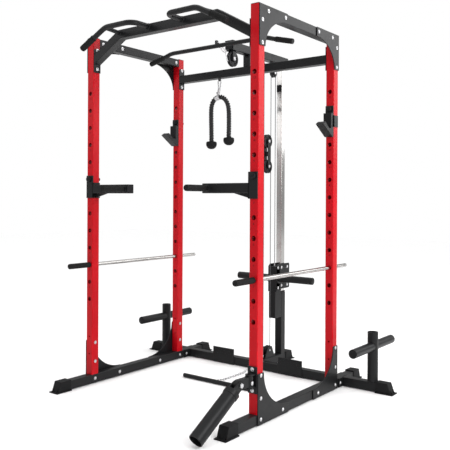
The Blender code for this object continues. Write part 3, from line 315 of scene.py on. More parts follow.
@dataclass(frozen=True)
class Moulded(Finish):
    """Moulded plastic or rubber with a pebbled skin."""

    pebble: float = 900.0
    pebble_depth: float = 0.00008
    specular: float = 0.10

    def paint(self, graph: Graph) -> None:
        """Dull skin with pebbles, faint dust in the hollows and patches of polish."""
        pebble = graph.node("ShaderNodeTexVoronoi", None,
                            {"Vector": graph.place(), "Scale": self.pebble})
        cloud = graph.noise(14.0, 4.0)
        dust = graph.ramp(graph.noise(60.0, 6.0), 0.55, 0.8)
        body = graph.mix(cloud, tint(self.colour, 0.8), tint(self.colour, 1.25))
        graph.set(Base_Color=graph.mix(dust * 0.25, body, tint(self.colour, 3.0)),
                  Specular_IOR_Level=self.specular,
                  Roughness=self.roughness + (cloud - 0.5) * 0.14 + dust * 0.06,
                  Normal=graph.bump(pebble + graph.noise(220.0) * 0.5, self.pebble_depth, 0.5))


@dataclass(frozen=True)
class Fibre(Finish):
    """Twisted cord: fine yarns across the lay, with a soft sheen."""

    yarn: float = 2600.0

    def paint(self, graph: Graph) -> None:
        """Dark yarn with lighter loose fibres."""
        yarn = graph.noise(1.0, 3.0, graph.stretched((self.yarn, self.yarn, self.yarn * 0.18)))
        loose = graph.ramp(graph.noise(700.0, 4.0), 0.6, 0.8)
        body = graph.mix(yarn, tint(self.colour, 0.6), tint(self.colour, 2.0))
        graph.set(Base_Color=graph.mix(loose * 0.4, body, tint(self.colour, 5.0)),
                  Roughness=self.roughness + (yarn - 0.5) * 0.15, Sheen_Weight=0.25,
                  Sheen_Roughness=0.4, Normal=graph.bump(yarn, 0.0003, 0.8))


@dataclass(frozen=True)
class PaleFloor(Finish):
    """A plain pale studio floor."""

    def paint(self, graph: Graph) -> None:
        """Near-white with the slightest cloudiness."""
        cloud = graph.noise(0.8, 3.0)
        graph.set(Base_Color=graph.mix(cloud, tint(self.colour, 0.985), tint(self.colour, 1.0)),
                  Roughness=self.roughness)


RED = PowderCoat("red_powder_coat", "red_paint", (0.43, 0.003, 0.008), 0.34, wear_and_highlight=1.5, coat=0.04)
BLACK = PowderCoat("black_powder_coat", "black_steel", (0.0085, 0.0088, 0.0095), 0.38,
                   coat=0.04, specular=0.14)
CHROME = Metal("polished_chrome", "chrome", (0.52, 0.51, 0.50), 0.15)
BRIGHT_BAR = Metal("bright_bar", "chrome", (0.40, 0.39, 0.38), 0.20, streak=(700.0, 10.0, 700.0))
ZINC = Metal("zinc_plate", "zinc_steel", (0.52, 0.52, 0.53), 0.30, streak=(400.0, 400.0, 400.0))
WIRE = Metal("wire_rope", "zinc_steel", (0.13, 0.13, 0.135), 0.42, streak=(300.0, 300.0, 900.0))
NYLON = Moulded("moulded_nylon", "black_plastic", (0.0095, 0.0095, 0.0105), 0.38)
RUBBER = Moulded("moulded_rubber", "rubber", (0.0080, 0.0080, 0.0085), 0.55, pebble=500.0)
GRIP = Moulded("grip_rubber", "rubber", (0.0095, 0.0095, 0.0095), 0.68, pebble=380.0,
               pebble_depth=0.0002)
CORD = Fibre("black_rope", "rope", (0.008, 0.008, 0.009), 0.8)
PRINT = Moulded("printed_number", "black_plastic", (0.02, 0.004, 0.005), 0.5)


# ---- shapes -------------------------------------------------------------------------------------
def arc(centre: Point, radius: Point, start: float, end: float, steps: int) -> list[tuple]:
    """Points on an ellipse arc; angles in degrees, radius as (across, up)."""
    points = []
    for step in range(steps + 1):
        turn = math.radians(start + (end - start) * step / steps)
        points.append((centre[0] + radius[0] * math.cos(turn),
                       centre[1] + radius[1] * math.sin(turn)))
    return points


def facing(place: Point, direction: Point) -> Matrix:
    """A matrix that turns +Z to a direction and moves to a place."""
    return Matrix.Translation(place) @ Vector(direction).to_track_quat("Z", "Y").to_matrix().to_4x4()


def flow(route: Sequence[Point], spacing: float) -> list[Vector]:
    """Evenly spaced points of a smooth curve through a route.

    Args:
        route: points that the curve passes through.
        spacing: distance between the points returned.

    Returns:
        The points, with the route's two ends kept.
    """
    ends = [Vector(route[0]), *(Vector(point) for point in route), Vector(route[-1])]
    dense = []
    for span in range(len(route) - 1):
        before, start, end, after = ends[span:span + 4]
        for step in range(24):
            t = step / 24
            dense.append(0.5 * (2 * start + (end - before) * t
                                + (2 * before - 5 * start + 4 * end - after) * t * t
                                + (3 * start - before - 3 * end + after) * t * t * t))
    dense.append(Vector(route[-1]))
    return even(dense, spacing)


def even(line: Sequence[Point], spacing: float) -> list[Vector]:
    """Points at an even spacing along a line of straight stretches, ends kept."""
    points = [Vector(point) for point in line]
    total = sum((b - a).length for a, b in zip(points, points[1:]))
    count = max(2, round(total / spacing))
    result = [points[0]]
    walked = 0.0
    for start, end in zip(points, points[1:]):
        length = (end - start).length
        while len(result) < count and walked + length >= total * len(result) / count - 1e-9:
            share = (total * len(result) / count - walked) / max(length, 1e-9)
            result.append(start.lerp(end, min(1.0, share)))
        walked += length
    result.append(points[-1])
    return result


def line_length(line: Sequence[Vector]) -> float:
    """Length of a line of points."""
    return sum((b - a).length for a, b in zip(line, line[1:]))


class Shape:
    """Closed bodies gathered in one mesh, in the cage's own coordinates."""

    origin = Vector((0.0, 0.0, 0.0))

    def __init__(self) -> None:
        """Starts empty, with a face attribute that marks rounded edges."""
        self.mesh = bmesh.new()
        self.mesh.faces.layers.float.new("edge")

    def _start(self) -> bmesh.types.BMesh:
        """A mesh for one body."""
        body = bmesh.new()
        body.faces.layers.float.new("edge")
        return body

    def _round(self, body: bmesh.types.BMesh, width: float, segments: int,
               along: Optional[Axis] = None) -> None:
        """Bevels a body's sharp edges, or only those along one axis."""
        if width <= 0.0:
            return
        sharp = [edge for edge in body.edges
                 if len(edge.link_faces) == 2 and edge.calc_face_angle(0.0) > math.radians(35)]
        if along:
            sharp = [edge for edge in sharp
                     if abs((edge.verts[1].co - edge.verts[0].co).normalized().dot(along.unit)) > 0.99]
        made = bmesh.ops.bevel(body, geom=sharp, offset=width, offset_type="OFFSET",
                               segments=segments, profile=0.5, affect="EDGES", material=-1,
                               clamp_overlap=True)
        layer = body.faces.layers.float["edge"]
        for face in made["faces"]:
            face[layer] = 1.0

    def _keep(self, body: bmesh.types.BMesh, matrix: Optional[Matrix] = None) -> "Shape":
        """Moves a body into place and adds it."""
        if matrix is not None:
            bmesh.ops.transform(body, matrix=matrix, verts=body.verts)
        holder = bpy.data.meshes.new("body")
        body.to_mesh(holder)
        body.free()
        self.mesh.from_mesh(holder)
        bpy.data.meshes.remove(holder)
        return self

    def block(self, low: Point, high: Point, bevel: float = 0.0008, segments: int = 2,
              along: Optional[Axis] = None) -> "Shape":
        """A block between two corners, with rounded edges."""
        body = self._start()
        low_corner = Vector([min(pair) for pair in zip(low, high)])
        high_corner = Vector([max(pair) for pair in zip(low, high)])
        size = Matrix.Diagonal((*(high_corner - low_corner), 1.0))
        place = Matrix.Translation((low_corner + high_corner) / 2) @ size
        bmesh.ops.create_cube(body, size=1.0, matrix=place)
        self._round(body, bevel, segments, along)
        return self._keep(body)

    def bar(self, low: Point, high: Point, along: Axis, corner: float = 0.004) -> "Shape":
        """A square tube's outside: rounded corners along its length and crisp ends."""
        return self.block(low, high, corner, 3, along)

    def rod(self, start: Point, end: Point, radius: float, sides: int = 32,
            bevel: float = 0.0008, taper: float = 1.0) -> "Shape":
        """A round bar with softened ends."""
        body = self._start()
        span = Vector(end) - Vector(start)
        bmesh.ops.create_cone(body, cap_ends=True, segments=sides, radius1=radius,
                              radius2=radius * taper, depth=span.length)
        self._round(body, min(bevel, radius * 0.4), 2)
        return self._keep(body, facing((Vector(start) + Vector(end)) / 2, span))

    def slab(self, outline: Sequence[Point], axis: Axis, low: float, high: float,
             bevel: float = 0.0008) -> "Shape":
        """A flat outline given thickness along an axis."""
        body = self._start()
        corners = [body.verts.new(axis.point(pair, low)) for pair in outline]
        rim = [body.edges.new(pair) for pair in zip(corners, corners[1:] + corners[:1])]
        bmesh.ops.edgeloop_fill(body, edges=rim)
        raised = bmesh.ops.extrude_face_region(body, geom=list(body.faces))
        moved = [item for item in raised["geom"] if isinstance(item, bmesh.types.BMVert)]
        bmesh.ops.translate(body, verts=moved, vec=axis.unit * (high - low))
        bmesh.ops.recalc_face_normals(body, faces=body.faces)
        self._round(body, bevel, 2)
        return self._keep(body)

    def turned(self, profile: Sequence[Point], place: Point, direction: Point = (0, 0, 1),
               steps: int = 32) -> "Shape":
        """A profile of (radius, height) spun round a direction.

        Args:
            profile: from the axis to the axis, or a closed ring clear of it.
            place: where the profile's zero height lies.
            direction: the axis's direction.
            steps: facets round the axis.

        Returns:
            This shape.
        """
        body = self._start()
        corners = [body.verts.new((radius, 0.0, height)) for radius, height in profile]
        pairs = list(zip(corners, corners[1:]))
        if profile[0][0] > 0.0:
            pairs.append((corners[-1], corners[0]))
        edges = [body.edges.new(pair) for pair in pairs]
        bmesh.ops.spin(body, geom=[*corners, *edges], cent=(0, 0, 0), axis=(0, 0, 1),
                       dvec=(0, 0, 0), angle=math.tau, steps=steps, use_merge=True)
        bmesh.ops.remove_doubles(body, verts=body.verts, dist=0.000005)
        bmesh.ops.recalc_face_normals(body, faces=body.faces)
        return self._keep(body, facing(place, direction))

    def sweep(self, path: Sequence[Point], radius: float, sides: int = 20, lobes: int = 0,
              depth: float = 0.0, pitch: float = 0.0, closed: bool = False) -> "Shape":
        """A round or lobed section carried along a path.

        Args:
            path: the centre line.
            radius: the section's outer radius.
            sides: corners of the section.
            lobes: strands laid round the section, 0 for a plain round.
            depth: how deep the grooves between strands are, as a share of the radius.
            pitch: length of one full twist, 0 for none.
            closed: joins the last ring to the first.

        Returns:
            This shape.
        """
        body = self._start()
        line = [Vector(point) for point in path]
        count = len(line)
        bmesh.ops.create_circle(body, cap_ends=False, radius=radius, segments=sides)
        if lobes:
            for vert in body.verts:
                turn = math.atan2(vert.co.y, vert.co.x) * lobes / 2
                vert.co *= 1.0 - depth * (1.0 - abs(math.cos(turn)))
        steps = [(b - a).normalized() for a, b in zip(line, line[1:])]
        if closed:
            steps.append((line[0] - line[-1]).normalized())
            tangents = [(steps[index - 1] + steps[index]).normalized() for index in range(count)]
        else:
            inner = [(a + b).normalized() for a, b in zip(steps, steps[1:])]
            tangents = [steps[0], *inner, steps[-1]]
        frame = facing(line[0], tangents[0])
        bmesh.ops.transform(body, matrix=frame, verts=body.verts)
        ring = list(body.edges)
        first = ring
        for index in range(1, count):
            turn = tangents[index - 1].rotation_difference(tangents[index]).to_matrix().to_4x4()
            step = (line[index] - line[index - 1]).length
            twist = Matrix.Rotation(math.tau * step / pitch if pitch else 0.0, 4, tangents[index])
            move = (Matrix.Translation(line[index]) @ twist @ turn
                    @ Matrix.Translation(-line[index - 1]))
            made = bmesh.ops.extrude_edge_only(body, edges=ring)
            verts = [item for item in made["geom"] if isinstance(item, bmesh.types.BMVert)]
            ring = [item for item in made["geom"] if isinstance(item, bmesh.types.BMEdge)
                    and len(item.link_faces) == 1]
            bmesh.ops.transform(body, matrix=move, verts=verts)
        if closed:
            bmesh.ops.bridge_loops(body, edges=first + ring)
        else:
            bmesh.ops.edgeloop_fill(body, edges=first)
            bmesh.ops.edgeloop_fill(body, edges=ring)
        bmesh.ops.recalc_face_normals(body, faces=body.faces)
        return self._keep(body)

    def link(self, start: Point, end: Point, half_width: float, across: Point, radius: float,
             steps: int = 6, sides: int = 10, start_width: float = 0.0) -> "Shape":
        """An oval of round wire between two end points, or a pear where start_width is given."""
        first, last = Vector(start), Vector(end)
        along = (last - first).normalized()
        wide = Vector(across)
        path = []
        near = start_width or half_width
        for centre, angle, reach in ((last - along * half_width, 90, half_width),
                                     (first + along * near, 270, near)):
            for u, v in arc((0, 0), (reach, reach), angle, angle - 180, steps):
                path.append(centre + along * u + wide * v)
        return self.sweep(path, radius, sides, closed=True)

    def carve(self, *tools: "Shape") -> "Shape":
        """Cuts other shapes out of this one."""
        target = self._object("carved")
        cutters = [tool._object("cutter") for tool in tools]
        for cutter in cutters:
            boolean = target.modifiers.new("cut", "BOOLEAN")
            boolean.operation = "DIFFERENCE"
            boolean.solver = "EXACT"
            boolean.object = cutter
        graph = bpy.context.evaluated_depsgraph_get()
        result = bpy.data.meshes.new_from_object(target.evaluated_get(graph))
        self.mesh = bmesh.new()
        self.mesh.from_mesh(result)
        bmesh.ops.remove_doubles(self.mesh, verts=self.mesh.verts, dist=0.000005)
        for piece in (target, *cutters):
            bpy.data.objects.remove(piece, do_unlink=True)
        return self

    def turn(self, matrix: Matrix) -> "Shape":
        """Moves everything so far."""
        bmesh.ops.transform(self.mesh, matrix=matrix, verts=self.mesh.verts)
        return self

    def add(self, mesh: bpy.types.Mesh, matrix: Matrix) -> "Shape":
        """Adds a placed copy of a mesh."""
        copy = mesh.copy()
        copy.transform(matrix)
        self.mesh.from_mesh(copy)
        bpy.data.meshes.remove(copy)
        return self

    def _object(self, name: str) -> bpy.types.Object:
        """An object of the shape."""
        mesh = bpy.data.meshes.new(name)
        self.mesh.to_mesh(mesh)
        self.mesh.free()
        made = bpy.data.objects.new(name, mesh)
        bpy.context.scene.collection.objects.link(made)
        return made

    def object(self, name: str, finish: Finish, smooth: float = 50.0) -> bpy.types.Object:
        """The finished object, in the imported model's frame.

        Args:
            name: the piece's name.
            finish: its finish.
            smooth: edges flatter than this angle shade smoothly.

        Returns:
            The object, at the frame's origin.
        """
        bmesh.ops.translate(self.mesh, verts=self.mesh.verts, vec=Shape.origin)
        made = self._object(name)
        made.data.materials.append(finish.material())
        made.data.shade_smooth()
        made.data.set_sharp_from_angle(angle=math.radians(smooth))
        weigh = made.modifiers.new("even_shading", "WEIGHTED_NORMAL")
        weigh.keep_sharp = True
        return made


# ---- the cage -----------------------------------------------------------------------------------
@dataclass
class Cage:
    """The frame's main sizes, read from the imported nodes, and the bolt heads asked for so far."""

    side_x: float
    end_y: float
    base_top: float
    height: float
    half: float
    bolts: list[tuple[Vector, Vector, str]] = field(default_factory=list)

    @classmethod
    def measured(cls) -> "Cage":
        """Reads the cage from its uprights and sets the shapes' origin at its middle."""
        low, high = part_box("upright_front_right")
        rear_low, rear_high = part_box("upright_rear_right")
        half = (high.x - low.x) / 2
        front = (low.y + high.y) / 2
        rear = (rear_low.y + rear_high.y) / 2
        Shape.origin = Vector((0.0, (front + rear) / 2, 0.0))
        return cls((low.x + high.x) / 2, (rear - front) / 2, low.z - GAP, high.z, half)

    @property
    def inner_x(self) -> float:
        """Inner faces of the uprights."""
        return self.side_x - self.half

    @property
    def outer_x(self) -> float:
        """Outer faces of the uprights."""
        return self.side_x + self.half

    @property
    def front_face(self) -> float:
        """Front faces of the front uprights."""
        return -self.end_y - self.half

    @property
    def cross_y(self) -> float:
        """Centre of the rear base crossbeam."""
        return self.end_y + 0.1155

    @property
    def tower_y(self) -> float:
        """Centre of the guide tube."""
        return self.cross_y + 0.260

    @property
    def boom_low(self) -> float:
        """Underside of the boom."""
        return self.height - 0.040

    def show(self, shape: Shape, name: str, body: str, finish: Finish,
             replaces: Iterable[str] = (), smooth: float = 50.0) -> bpy.types.Object:
        """Finishes a piece, puts it on its body and says what it stands for.

        Args:
            shape: the piece's shape.
            name: its name.
            body: the body it moves with.
            finish: its finish.
            replaces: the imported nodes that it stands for.
            smooth: edges flatter than this angle shade smoothly.

        Returns:
            The object.
        """
        made = shape.object(name, finish, smooth)
        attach(made, body)
        self.name_piece(made, replaces)
        return made

    def name_piece(self, made: bpy.types.Object, replaces: Iterable[str]) -> None:
        """Hides the imported nodes that a piece stands for and logs its face count."""
        if replaces:
            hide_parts(*replaces)
        LOG.info("%s: %d faces", made.name, len(made.data.polygons))

    def bolt(self, place: Point, direction: Point, body: str = "frame") -> None:
        """Asks for a bolt head on a face, seen from a direction."""
        self.bolts.append((Vector(place), Vector(direction), body))

    def through_bolt(self, x_outer: float, x_inner: float, y: float, z: float) -> None:
        """A bolt along X with its head outside and its nut inside."""
        outward = 1.0 if x_outer > x_inner else -1.0
        self.bolt((x_outer, y, z), (outward, 0, 0))
        self.bolt((x_inner, y, z), (-outward, 0, 0))


def rubber_foot(shape: Shape, place: Point, degrees: float) -> None:
    """Adds a beam's rubber foot: a sloped cap, its flange, two ribs and a moulded pad."""
    foot = Shape()
    foot.slab([(-0.070, 0.003), (0.023, 0.003), (0.003, 0.060), (-0.070, 0.060)], Axis.Y,
              -0.0285, 0.0285, 0.0022)
    foot.block((-0.070, -0.035, 0.0), (0.035, 0.035, 0.006), 0.0015)
    for rib in (-0.017, 0.017):
        foot.slab([(0.018, 0.004), (0.032, 0.004), (0.010, 0.034), (0.006, 0.034)], Axis.Y,
                  rib - 0.0015, rib + 0.0015, 0.0004)
    foot.turn(Matrix.Translation(place) @ Matrix.Rotation(math.radians(degrees), 4, "Z"))
    holder = bpy.data.meshes.new("foot")
    foot.mesh.to_mesh(holder)
    shape.add(holder, Matrix.Identity(4))


@dataclass
class Uprights:
    """Four red posts with their pin holes, top plugs and level numbers."""

    corner: float = 0.004
    wall: float = 0.002
    hole_top: float = 1.695
    pitch: float = 0.100
    count: int = 13
    hole: float = 0.0125
    small_hole: float = 0.005
    small_levels: tuple[float, ...] = (0.275, 0.175)
    digit: float = 0.011

    def levels(self) -> list[float]:
        """Heights of the pin holes, from the top one down."""
        return [self.hole_top - self.pitch * index for index in range(self.count)]

    def build(self, cage: Cage) -> None:
        """Builds the posts, their plugs and the numbers under the holes."""
        plugs = Shape()
        for end in End:
            for side in Side:
                self._post(cage, end, side)
                x, y, h = side.value * cage.side_x, end.value * cage.end_y, cage.half - 0.0008
                plugs.block((x - h, y - h, cage.height), (x + h, y + h, cage.height + 0.0035), 0.0015)
        cage.show(plugs, "post_plugs", "frame", NYLON)
        self._numbers(cage)

    def _post(self, cage: Cage, end: End, side: Side) -> None:
        """One hollow post, drilled front to rear."""
        x, y, h = side.value * cage.side_x, end.value * cage.end_y, cage.half
        inner = h - self.wall
        low, high = cage.base_top + GAP, cage.height
        bore = Shape().block((x - inner, y - inner, low - 0.01), (x + inner, y + inner, high + 0.01),
                             self.corner / 2, 2, Axis.Z)
        holes = Shape()
        for level in self.levels():
            holes.rod((x, y - h - 0.01, level), (x, y + h + 0.01, level), self.hole, 28, 0.0)
        for level in self.small_levels:
            holes.rod((x, y - h - 0.01, level), (x, y, level), self.small_hole, 16, 0.0)
        post = Shape().bar((x - h, y - h, low), (x + h, y + h, high), Axis.Z, self.corner)
        post.carve(bore, holes)
        name = f"{end.label}_{side.label}"
        cage.show(post, f"post_{name}", "frame", RED, [f"upright_{name}"], 35.0)

    def _numbers(self, cage: Cage) -> None:
        """Small printed level numbers on the front faces."""
        numbers = Shape()
        for index, level in enumerate(self.levels()):
            curve = bpy.data.curves.new("number", "FONT")
            curve.body = str(self.count - index)
            curve.size = self.digit * 1.4
            curve.align_x = "CENTER"
            curve.align_y = "CENTER"
            curve.extrude = 0.00012
            holder = bpy.data.objects.new("number", curve)
            bpy.context.scene.collection.objects.link(holder)
            graph = bpy.context.evaluated_depsgraph_get()
            mesh = bpy.data.meshes.new_from_object(holder.evaluated_get(graph))
            bpy.data.objects.remove(holder, do_unlink=True)
            for end in End:
                for side in Side:
                    face = (side.value * cage.side_x, end.value * cage.end_y - cage.half,
                            level - 0.030)
                    numbers.add(mesh, Matrix.Translation(face) @ Matrix.Rotation(math.pi / 2, 4, "X"))
        cage.show(numbers, "level_numbers", "frame", PRINT)


@dataclass
class SideFrames:
    """Base and top side beams, rubber feet and the curved corner plates with their bolts."""

    lift: float = 0.004
    front_past: float = 0.2485
    rear_past: float = 0.3035
    plate: float = 0.005
    top_reach: float = 0.2515
    top_drop: float = 0.200
    base_reach: float = 0.2765
    base_rise: float = 0.250
    steps: int = 20

    def build(self, cage: Cage) -> None:
        """Builds both sides."""
        h = cage.half
        for side in Side:
            x = side.value * cage.side_x
            front, rear = -cage.end_y - self.front_past, cage.end_y + self.rear_past
            base = Shape().bar((x - h, front, self.lift), (x + h, rear, cage.base_top), Axis.Y)
            node = f"base_beam_{side.label}"
            cage.show(base, f"base_rail_{side.label}", "frame", BLACK, [node])
            feet = Shape()
            rubber_foot(feet, (x, front, 0.0), -90)
            rubber_foot(feet, (x, rear, 0.0), 90)
            cage.show(feet, f"base_feet_{side.label}", "frame", RUBBER)
            reach = cage.end_y - h - GAP
            top = Shape().bar((x - h, -reach, cage.height - 2 * h), (x + h, reach, cage.height), Axis.Y)
            cage.show(top, f"top_rail_{side.label}", "frame", BLACK, [f"top_beam_{side.label}"])
            for end in End:
                self._corner(cage, end, side)

    def _outline(self, cage: Cage, fore: int, corner: float, tip: float, reach: float,
                 beam: float) -> list[tuple[float, float]]:
        """A corner plate's outline in Y and Z, hollowed by a quarter ellipse."""
        edge = cage.end_y + cage.half
        inner = edge - 2 * cage.half
        far = edge - reach
        curve = arc((far, tip), (inner - far, beam - tip), 90, 0, self.steps)
        points = [(edge, corner), (far, corner), *curve, (edge, tip)]
        return [(fore * y, z) for y, z in points]

    def _corner(self, cage: Cage, end: End, side: Side) -> None:
        """The two corner plates at one post, and their bolts."""
        fore, hand = end.value, side.value
        near, far = cage.outer_x + GAP, cage.outer_x + GAP + self.plate
        top = cage.height
        name = f"{end.label}_{side.label}"
        upper = self._outline(cage, fore, top, top - self.top_drop, self.top_reach,
                              top - 2 * cage.half)
        lower = self._outline(cage, fore, self.lift, self.base_rise, self.base_reach, cage.base_top)
        faces = sorted((hand * near, hand * far))
        cage.show(Shape().slab(upper, Axis.X, *faces), f"top_corner_{name}", "frame", BLACK,
                  [f"top_gusset_{name}"])
        cage.show(Shape().slab(lower, Axis.X, *faces), f"base_corner_{name}", "frame", BLACK,
                  [f"base_gusset_{name}"])
        places = [(cage.end_y, top - 0.075), (cage.end_y, top - 0.185), (0.325, top - 0.025),
                  (0.170, top - 0.023), (cage.end_y, 0.240), (cage.end_y, 0.130),
                  (cage.end_y, 0.030), (0.180, 0.029)]
        for y, z in places:
            cage.through_bolt(hand * far, hand * cage.inner_x, fore * y, z)


@dataclass
class Crossbeams:
    """Rear crossbeams with end plates, foot plates, and the outriggers with plate storage."""

    plate: float = 0.005
    lift: float = 0.004
    ear: float = 0.047

    def build(self, cage: Cage) -> None:
        """Builds the crossbeams and outriggers."""
        self._top(cage)
        self._base(cage)
        for side in Side:
            self._outrigger(cage, side)

    def _top(self, cage: Cage) -> None:
        """The rear top crossbeam with the rope's staple."""
        top, h = cage.height - 0.110, cage.half
        reach = cage.inner_x - GAP
        beam = Shape().bar((-reach + self.plate, cage.end_y - h, top - 2 * h),
                           (reach - self.plate, cage.end_y + h, top), Axis.X)
        for side in Side:
            near, far = side.value * (reach - self.plate), side.value * reach
            beam.block((near, cage.end_y - h, cage.height - 0.200),
                       (far, cage.end_y + h, cage.height - 0.065))
            for z in (cage.height - 0.072, cage.height - 0.183):
                cage.bolt((near, cage.end_y, z), (-side.value, 0, 0))
        x, low = -0.231, top - 2 * h
        beam.link((x, cage.end_y, low + 0.003), (x, cage.end_y, low - 0.014), 0.010, (0, 1, 0),
                  0.003, 8, 12)
        cage.show(beam, "top_cross_tie", "frame", BLACK, ["rear_top_crossbeam"])

    def _base(self, cage: Cage) -> None:
        """The rear base crossbeam with its ears and the two foot plates."""
        y, h, reach = cage.cross_y, cage.half, cage.inner_x - GAP
        beam = Shape().bar((-reach + self.plate, y - h, self.lift),
                           (reach - self.plate, y + h, cage.base_top), Axis.X)
        for side in Side:
            near, far = side.value * (reach - self.plate), side.value * reach
            beam.block((near, y - h - self.ear, self.lift), (far, y + h + self.ear, cage.base_top))
            beam.block((side.value * 0.170, y - h - 0.004, self.lift),
                       (side.value * 0.341, y - h, 0.104), 0.0012)
            for step in range(5):
                z = 0.064 + 0.008 * step
                beam.block((side.value * 0.178, y - h - 0.0044, z),
                           (side.value * 0.333, y - h - 0.0035, z + 0.003), 0.0002)
            for along in (y - h - 0.028, y + h + 0.028):
                cage.bolt((near, along, 0.027), (-side.value, 0, 0))
        cage.show(beam, "base_cross_tie", "frame", BLACK, ["rear_base_crossbeam"])

    def _outrigger(self, cage: Cage, side: Side) -> None:
        """One outrigger: beam, ears, round post and the peg for spare plates."""
        hand, y, h = side.value, cage.cross_y, cage.half
        start, end = cage.outer_x + GAP, cage.outer_x + 0.277
        x = hand * (cage.outer_x + 0.180)
        frame = Shape().bar((hand * (start + 0.001), y - h, self.lift), (hand * end, y + h, cage.base_top),
                            Axis.X)
        frame.block((hand * start, y - h - self.ear, self.lift),
                    (hand * (start + self.plate), y + h + self.ear, cage.base_top))
        frame.rod((x, y, cage.base_top - 0.002), (x, y, 0.335), 0.030, 48, 0.001)
        frame.turned([(0.0, 0.004), (0.031, 0.004), (0.035, 0.0), (0.035, -0.001), (0.0, -0.001)],
                     (x, y, cage.base_top), steps=40)
        frame.rod((x, y - 0.253, 0.253), (x, y + 0.253, 0.253), 0.025, 48, 0.001)
        label = side.label
        cage.show(frame, f"outrigger_{label}", "frame", BLACK, [f"plate_storage_{label}"])
        caps = Shape()
        for way in (-1, 1):
            caps.turned([(0.0, 0.0035), (0.020, 0.0035), (0.0245, 0.0015), (0.025, 0.0), (0.0, 0.0)],
                        (x, y + way * 0.2515, 0.253), (0, way, 0), 40)
        caps.turned([(0.0, 0.0), (0.0245, 0.0), (0.0295, -0.002), (0.0295, -0.006), (0.0, -0.006)],
                    (x, y, 0.335), steps=40)
        cage.show(caps, f"storage_caps_{label}", "frame", NYLON)
        feet = Shape()
        rubber_foot(feet, (hand * end, y, 0.0), 0 if hand > 0 else 180)
        cage.show(feet, f"outrigger_foot_{label}", "frame", RUBBER)
        for along in (y - h - 0.028, y + h + 0.028):
            cage.bolt((hand * (start + self.plate), along, 0.027), (hand, 0, 0))


@dataclass
class PullUpBar:
    """Bent square bar between the front posts, with two bent round handles and their grips."""

    drop: float = 0.011
    end_drop: float = 0.128
    bend_x: float = 0.347
    plate: float = 0.005
    handle: float = 0.0145
    handle_drop: float = 0.002
    forward: float = 0.150
    inner_x: float = 0.120
    turn: float = 0.050
    corner_x: float = 0.322
    fall: float = 0.5
    past: float = 0.072
    grip: float = 0.0172
    grip_length: float = 0.105

    def build(self, cage: Cage) -> None:
        """Builds the bar, the handles and the grips."""
        end = cage.inner_x - GAP - self.plate
        slope = math.atan2(self.end_drop - self.drop, end - self.bend_x)
        edges = []
        for offset in (cage.half, -cage.half):
            bend = self.bend_x + offset * math.tan(slope / 2)
            low = cage.height - self.end_drop + offset / math.cos(slope)
            high = cage.height - self.drop + offset
            edges.append([(-end - 0.002, low), (-bend, high), (bend, high), (end + 0.002, low)])
        outline = edges[0] + edges[1][::-1]
        bar = Shape().slab(outline, Axis.Y, cage.front_face, -cage.end_y + cage.half, 0.0035)
        for side in Side:
            near, far = side.value * end, side.value * (end + self.plate)
            bar.block((near, cage.front_face, cage.height - 0.203),
                      (far, -cage.end_y + cage.half, cage.height - 0.067))
            for z in (cage.height - 0.072, cage.height - 0.182):
                cage.bolt((near, -cage.end_y, z), (-side.value, 0, 0))
        cage.show(bar, "pull_up_beam", "frame", BLACK, ["pull_up_bar"])
        for side in Side:
            self._handle(cage, side)

    def _handle(self, cage: Cage, side: Side) -> None:
        """One bent handle off the bar's front face, with its weld beads, stub and grip."""
        hand, face = side.value, cage.front_face
        front, level = -cage.end_y - self.forward, cage.height - self.handle_drop
        centre = (self.inner_x + self.turn, front + self.turn)
        curve = arc(centre, (self.turn, self.turn), 180, 270, 14)
        line = [Vector((hand * self.inner_x, face + 0.001, level))]
        line += [Vector((hand * x, y, level)) for x, y in curve]
        soft, last = 0.025, cage.side_x - self.past
        for step in range(9):
            share = step / 8
            x = self.corner_x - soft + 2 * soft * share
            line.append(Vector((hand * x, front, level - soft * self.fall * share * share)))
        end = Vector((hand * last, front, level - (last - self.corner_x) * self.fall))
        line.append(end)
        tube = Shape().sweep(line, self.handle, 24)
        corner = Vector((hand * self.corner_x, front, level - soft * self.fall * 0.25))
        root = Vector((hand * (self.bend_x - 0.005), face + 0.001, corner.z))
        tube.rod(corner, root, 0.0115, 24)
        back = Vector((0, 1, 0))
        for weld, width in ((line[0], self.handle), (root, 0.0115)):
            tube.turned([(0.0, 0.0), (width + 0.003, 0.0), (width + 0.0022, -0.0028),
                         (width - 0.0002, -0.0052), (0.0, -0.0052)], weld, back, 28)
        cage.show(tube, f"bent_handle_{side.label}", "frame", BLACK)
        along = (end - line[-2]).normalized()
        sleeve = Shape().rod(end - along * self.grip_length, end - along * 0.0015, self.grip, 32, 0.002)
        for ring in range(5):
            centre = end - along * (0.016 + 0.022 * ring)
            sleeve.rod(centre - along * 0.004, centre + along * 0.004, self.grip + 0.0007, 32, 0.0006)
        cage.show(sleeve, f"bent_handle_grip_{side.label}", "frame", GRIP)


